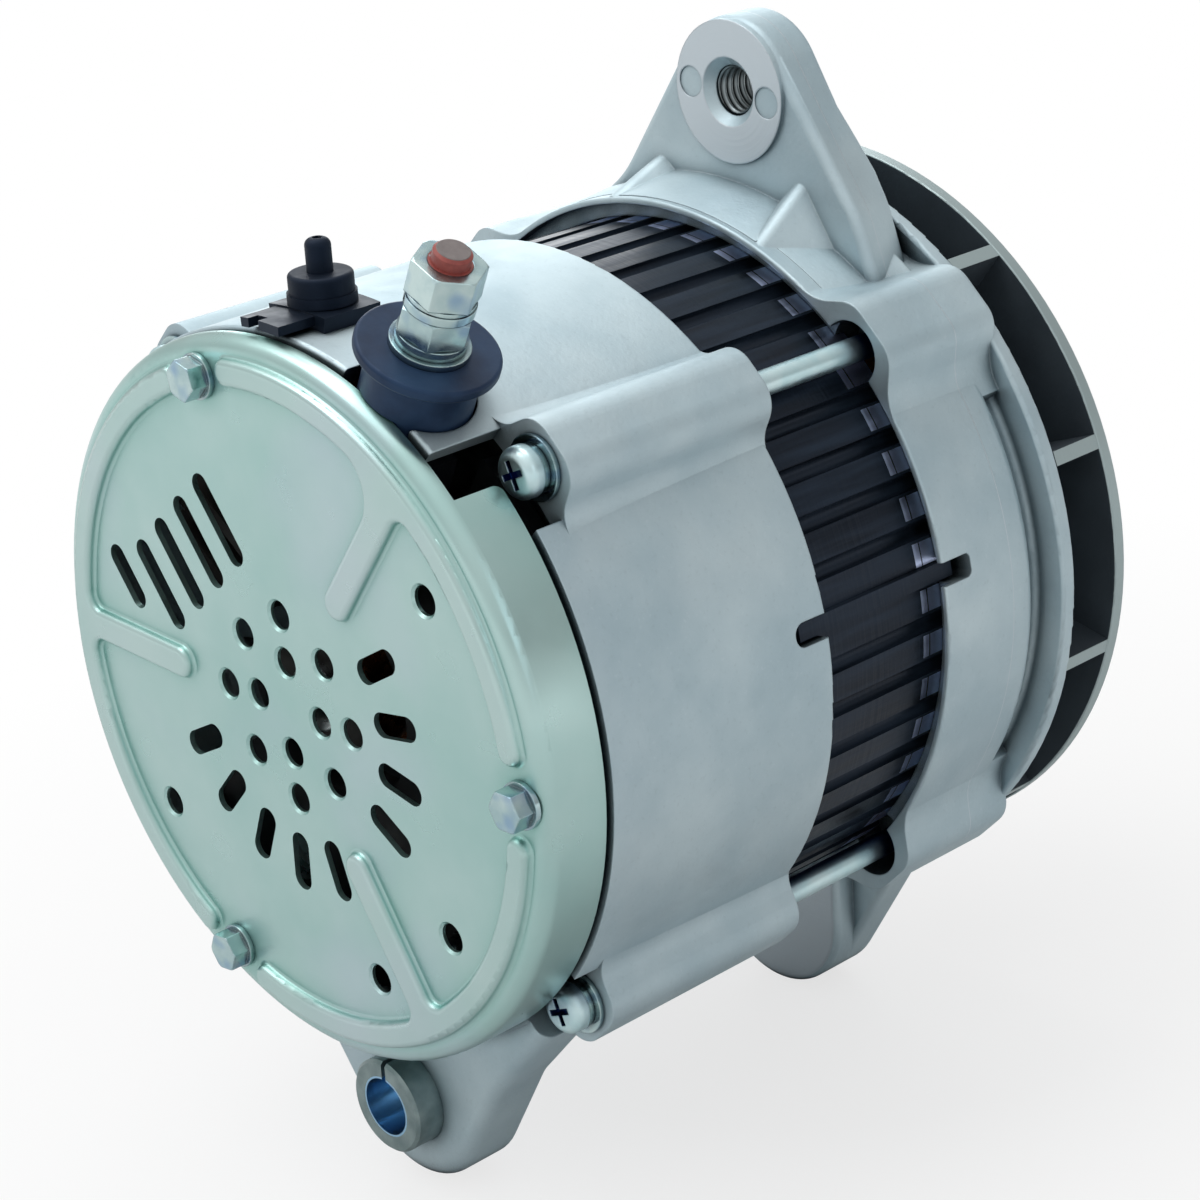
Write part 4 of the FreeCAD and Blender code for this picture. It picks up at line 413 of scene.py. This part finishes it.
def painted_fan():
    """Cast aluminium under thin charcoal paint: dull, with the casting's grain through it, drawn 0.9 mm
    across. Its rim and the blades' ends are turned after painting, so they are bare metal with tool rings,
    drawn 0.6 mm apart so that they show."""
    material, tree, shader, where = new_material("painted_fan", "#31393F", 0.0, 0.55)
    colour, rough = patchy(tree, shader, where, ("#2C343B", "#353E45"), 16.0, (0.5, 0.62))
    from_shaft = distance_from_axis(tree, where, SHAFT, ALONG_SHAFT)
    behind = along_axis(tree, where, (0, FAN_REAR, 0), ALONG_SHAFT)
    rim = add(tree, "Math", (from_shaft, FAN_RADIUS - 0.3 * MM), operation="GREATER_THAN")[0]
    ends = add(tree, "Math", (behind, 0.25 * MM), operation="LESS_THAN")[0]
    bare = add(tree, "Math", (rim, ends), operation="MAXIMUM")[0]
    tree.links.new(layered(tree, colour, (bare, tint("#A7B5B6"))), shader.inputs["Base Color"])
    tree.links.new(bare, shader.inputs["Metallic"])
    tree.links.new(add(tree, "Mix", {MASK: bare, OFF: rough, ON: 0.5})[0], shader.inputs["Roughness"])
    grit = add(tree, "TexNoise", {"Vector": where, "Scale": per(0.9), "Detail": 4.0})["Fac"]
    rings = turning_marks(tree, along_axis(tree, where, SHAFT, ALONG_SHAFT), 0.6)
    rings = add(tree, "Math", (rings, 0.4), operation="MULTIPLY")[0]
    bumped(tree, shader, add(tree, "Mix", {MASK: bare, OFF: grit, ON: rings})[0], 0.04)
    return material


def tapped_aluminium():
    """Thread cut in the casting: bright crests, and roots darkened by oil and dust and by painted shade."""
    material, tree, shader, where = new_material("tapped_aluminium", "#8E979A", 1.0, 0.35)
    from_middle = distance_from_axis(tree, where, EAR, ALONG_SHAFT)
    # Painted shade together with grime: the thread darkens from crest towards root
    grime_and_shade = add(tree, "MapRange", (from_middle, THREAD_CREST + 0.1 * MM, THREAD_ROOT))[0]
    smears = add(tree, "TexNoise", {"Vector": where, "Scale": per(1.5), "Detail": 4.0})["Fac"]
    bright = layered(tree, tint("#8A9396"), (smears, tint("#B4BDBF")))
    tree.links.new(layered(tree, bright, (grime_and_shade, tint("#1E2325"))), shader.inputs["Base Color"])
    tree.links.new(add(tree, "MapRange", (smears, 0.3, 0.7, 0.28, 0.42))[0], shader.inputs["Roughness"])
    return material


def forged_steel():
    """Claw poles of hot-forged steel, turned outside: dark grey, rough with flakes of scale 1.5 mm across."""
    material, tree, shader, where = new_material("forged_steel", "#4A4D50", 1.0, 0.5)
    patchy(tree, shader, where, ("#3B3E41", "#5D6164"), 9.0, (0.42, 0.62))
    scale = add(tree, "TexNoise", {"Vector": where, "Scale": per(1.5), "Detail": 5.0})["Fac"]
    bumped(tree, shader, scale, 0.06)
    return material


def blackened_strip():
    """Rectifier plates of aluminium strip, anodised black: dull, with straight rolling lines, drawn 0.8 mm
    apart so that they show."""
    material, tree, shader, where = new_material("blackened_strip", "#1A1D20", 0.2, 0.5)
    patchy(tree, shader, where, ("#14171A", "#23272B"), 12.0, (0.42, 0.58))
    along = add(tree, "Mapping", {"Vector": where, "Scale": (0.05, 1.0, 1.0)})[0]
    lines = add(tree, "TexNoise", {"Vector": along, "Scale": per(0.8), "Detail": 2.0})["Fac"]
    bumped(tree, shader, lines, 0.01)
    return material


def turned_copper():
    """Slip rings of turned and polished copper, with fine rings where the brushes run, drawn 0.5 mm apart so
    that they show."""
    material, tree, shader, where = new_material("turned_copper", "#B87448", 1.0, 0.25)
    patchy(tree, shader, where, ("#A9653C", "#C98A5E"), 6.0, (0.18, 0.32))
    bumped(tree, shader, turning_marks(tree, along_axis(tree, where, SHAFT, ALONG_SHAFT), 0.5), 0.02)
    return material


# Plastic and rubber
def moulded_plastic(name, colours, roughness, grain_mm, depth_mm, **more):
    """Moulded plastic, resin and rubber, and pressed carbon: an even colour and a fine grain from the mould,
    drawn coarser than the real 0.1 mm so that it shows."""
    material, tree, shader, where = new_material(name, colours[0], 0.0, roughness[0], **more)
    patchy(tree, shader, where, colours, 10.0, roughness)
    grain = add(tree, "TexNoise", {"Vector": where, "Scale": per(grain_mm), "Detail": 3.0})["Fac"]
    bumped(tree, shader, grain, depth_mm)
    return material


def studio_floor():
    """Matt white card. It keeps the object's shadow, and away from the object it turns to the plain white
    backdrop, for the eye and for what metal mirrors."""
    material, tree, shader, where = new_material("studio_floor", "#CFCFCF", 0.0, 0.9)
    path = add(tree, "LightPath")
    mirrored = (path["Is Glossy Ray"], path["Is Transmission Ray"])
    mirrored = add(tree, "Math", mirrored, operation="MAXIMUM")[0]
    away = add(tree, "VectorMath", (where,), operation="LENGTH")["Value"]
    lifted = add(tree, "MapRange", (away, 0.08, 0.32, 0.72, 1.0))[0]
    seen = add(tree, "Math", (path["Is Camera Ray"], lifted), operation="MULTIPLY")[0]
    far = add(tree, "MapRange", (away, 0.3, 1.1))[0]
    echoed = add(tree, "Math", (mirrored, far), operation="MULTIPLY")[0]
    share = add(tree, "Math", (seen, echoed), operation="MAXIMUM")[0]
    white = add(tree, "Emission", {"Color": (*WHITE, 1.0), "Strength": 1.0})[0]
    card = add(tree, "MixShader", (share, shader.outputs[0], white))[0]
    tree.links.new(card, tree.nodes["Material Output"].inputs["Surface"])
    return material


def dress_nodes():
    """Gives each CAD node its finished material."""
    bluish_gloss = {"Specular_IOR_Level": 0.35, "Specular_Tint": tint("#B9D4FF")}
    bluish_dull = {"Specular_IOR_Level": 0.3, "Specular_Tint": tint("#B9D4FF")}
    # The last two values of each fastener are the colour and reach of its painted shade in seams
    bright = zinc_plated_fastener("zinc_plated_fastener", ("#A9C3C6", "#C8DCDB"), (0.14, 0.26), 0.6,
                                  "#1F2C3C", 2.0)
    rod = zinc_plated_fastener("zinc_plated_rod", ("#C4E2E6", "#D6ECEE"), (0.34, 0.42), 0.0, "#12306B", 9.0)
    ground = turned_steel("ground_steel", ("#B4B8BA", "#C4C7C8"), (0.2, 0.32))
    spring = turned_steel("drawn_spring_steel", ("#83878A", "#95999B"), (0.3, 0.4))
    pulley = turned_steel("phosphated_pulley_steel", ("#4F5558", "#585E61"), (0.4, 0.5), 0.9, 0.02)
    resin = moulded_plastic("moulded_resin", ("#1B1A18", "#24221F"), (0.45, 0.55), 0.9, 0.02)
    nylon = moulded_plastic("glass_filled_nylon", ("#090E15", "#121A25"), (0.36, 0.5), 0.8, 0.02,
                            **bluish_gloss)
    phenolic = moulded_plastic("slate_phenolic", ("#16243A", "#243852"), (0.38, 0.5), 0.9, 0.02,
                               **bluish_gloss)
    rubber = moulded_plastic("moulded_rubber", ("#080E16", "#0F1825"), (0.5, 0.64), 1.1, 0.03,
                             **bluish_dull)
    carbon = moulded_plastic("pressed_carbon", ("#26272A", "#313236"), (0.4, 0.55), 0.6, 0.02)
    finishes = {
        zinc_plated_sheet(): ("rear_cover",),
        cast_aluminium(): ("rear_housing", "front_housing"),
        varnished_laminations(): ("stator_core",),
        enamelled_copper(): ("stator_winding", "field_coil"),
        rod: ("through_bolts",),
        bright: ("cover_bolts", "through_bolt_spring_washers", "through_bolt_flat_washers",
                 "retainer_screws", "shaft_washer", "shaft_nut", "stud_washers", "stud_spring_washers",
                 "stud_lower_nut", "stud_upper_nut", "terminal_post", "plate_screws"),
        stud_plating(): ("output_stud",),
        phenolic: ("stud_insulator",),
        nylon: ("terminal_tab",),
        rubber: ("terminal_cap",),
        sintered_bush_steel(): ("foot_bush",),
        painted_fan(): ("fan",),
        pulley: ("pulley",),
        forged_steel(): ("rear_claw_pole", "front_claw_pole", "rotor_hub", "bearing_retainer"),
        blackened_strip(): ("positive_heat_sink", "negative_heat_sink"),
        ground: ("rotor_shaft", "front_spacer", "positive_diodes", "negative_diodes",
                 "rear_bearing_inner_ring", "rear_bearing_outer_ring", "rear_bearing_balls",
                 "front_bearing_inner_ring", "front_bearing_outer_ring", "front_bearing_balls"),
        spring: ("rear_bearing_cage", "front_bearing_cage", "rear_brush_spring", "front_brush_spring"),
        turned_copper(): ("slip_rings",),
        resin: ("slip_ring_sleeve", "brush_holder", "regulator", "plate_spacers", "plate_sleeves"),
        carbon: ("rear_brush", "front_brush"),
    }
    wears = {name: material for material, names in finishes.items() for name in names}
    for name, node in frame["nodes"].items():
        node.data.materials.clear()
        node.data.materials.append(wears[name])


# Thread in the ear, the one small piece that the solids leave to this script
def screw_thread(name, start, axis, crest, root, pitch, length, body, material):
    """Helical thread as one open sleeve: each point's radius follows the flanks as they wind along."""
    steps_round = 60
    steps_pitch = 8
    flank_slope = 1.6
    crest_share = 0.3
    rows = int(length / pitch * steps_pitch)
    axis = Vector(axis).normalized()
    side = axis.orthogonal().normalized()
    other = axis.cross(side)
    points, faces = [], []
    for row in range(rows + 1):
        for step in range(steps_round):
            turn = math.tau * step / steps_round
            wave = (row / steps_pitch - step / steps_round) % 1.0
            flank = min(1.0, max(0.0, flank_slope * abs(2 * wave - 1) - crest_share))
            radius = crest + (root - crest) * flank
            out = side * math.cos(turn) + other * math.sin(turn)
            points.append(start + axis * (length * row / rows) + out * radius)
    for row in range(rows):
        for step in range(steps_round):
            after = (step + 1) % steps_round
            a = row * steps_round
            b = a + steps_round
            faces.append((a + step, a + after, b + after, b + step))
    mesh = bpy.data.meshes.new(name)
    mesh.from_pydata([p[:] for p in points], [], faces)
    mesh.polygons.foreach_set("use_smooth", [True] * len(faces))
    piece = bpy.data.objects.new(name, mesh)
    bpy.context.scene.collection.objects.link(piece)
    piece.data.materials.append(material)
    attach(piece, body)


# Studio: floor, four softboxes and a white backdrop
FLOOR_HALF = 4.0
FLOOR_DROP = 0.5 * MM
OBJECT_MIDDLE = Vector((0.0, -0.05, 0.08))
LIGHT_FROM = (-0.1, -0.3, 0.95)
LIGHT_SPREAD = (-0.8, 1.0)
BACKDROP_BAND = (0.02, 0.12)


def add_floor():
    """Large square of card just under the object."""
    low = cad_box[0].z - FLOOR_DROP
    corners = [(x * FLOOR_HALF, y * FLOOR_HALF, low) for x, y in ((-1, -1), (1, -1), (1, 1), (-1, 1))]
    mesh = bpy.data.meshes.new("floor")
    mesh.from_pydata(corners, [], [(0, 1, 2, 3)])
    floor = bpy.data.objects.new("floor", mesh)
    bpy.context.scene.collection.objects.link(floor)
    floor.data.materials.append(studio_floor())


def add_softbox(name, place, size, power, colour):
    """Square area lamp that faces the middle of the object."""
    lamp = bpy.data.lights.new(name, "AREA")
    lamp.shape = "SQUARE"
    lamp.size = size
    lamp.energy = power
    lamp.color = colour
    holder = bpy.data.objects.new(name, lamp)
    bpy.context.scene.collection.objects.link(holder)
    holder.location = place
    holder.visible_camera = False
    holder.rotation_euler = (OBJECT_MIDDLE - Vector(place)).to_track_quat("-Z", "Y").to_euler()


def add_world():
    """White backdrop for the camera. The light it gives is a soft studio's, most from above and a little from
    the rear, and metal mirrors a white band at the horizon."""
    world = bpy.data.worlds.new("studio")
    bpy.context.scene.world = world
    world.use_nodes = True
    tree = world.node_tree
    tree.nodes.clear()
    path = add(tree, "LightPath")
    direction = add(tree, "TexCoord")["Generated"]
    toward = add(tree, "VectorMath", (direction, LIGHT_FROM), operation="DOT_PRODUCT")["Value"]
    light = add(tree, "MapRange", (toward, *LIGHT_SPREAD))[0]
    upward = add(tree, "SeparateXYZ", (direction,))["Z"]
    from_horizon = add(tree, "Math", (upward,), operation="ABSOLUTE")[0]
    backdrop = add(tree, "MapRange", (from_horizon, *BACKDROP_BAND, 1.0, 0.0))[0]
    mirrored = (path["Is Glossy Ray"], path["Is Transmission Ray"])
    mirrored = add(tree, "Math", mirrored, operation="MAXIMUM")[0]
    band = add(tree, "Math", (mirrored, backdrop), operation="MULTIPLY")[0]
    level = add(tree, "Mix", {MASK: band, OFF: light, ON: 1.0})[0]
    level = add(tree, "Mix", {MASK: path["Is Camera Ray"], OFF: level, ON: 1.0})[0]
    sky = add(tree, "Background", {"Color": (*WHITE, 1.0), "Strength": level})[0]
    add(tree, "OutputWorld", {"Surface": sky})


add_camera()
dress_nodes()
screw_thread("ear_thread", Vector((EAR.x, EAR_THREAD_START, EAR.z)), ALONG_SHAFT, THREAD_CREST, THREAD_ROOT,
             THREAD_PITCH, THREAD_LENGTH, "frame", tapped_aluminium())
add_floor()
add_softbox("key", (-0.45, -0.6, 1.3), 0.8, 4.5, WHITE)
add_softbox("fill", (1.3, -0.2, 0.6), 0.5, 0.6, (0.8, 0.9, 1.0))
add_softbox("top", (-0.2, 0.1, 1.4), 0.7, 4.2, WHITE)
add_softbox("back_left", (-0.89, 0.79, 0.55), 0.7, 4.2, (0.94, 0.98, 1.0))
add_world()
bpy.context.scene.view_settings.view_transform = "Standard"
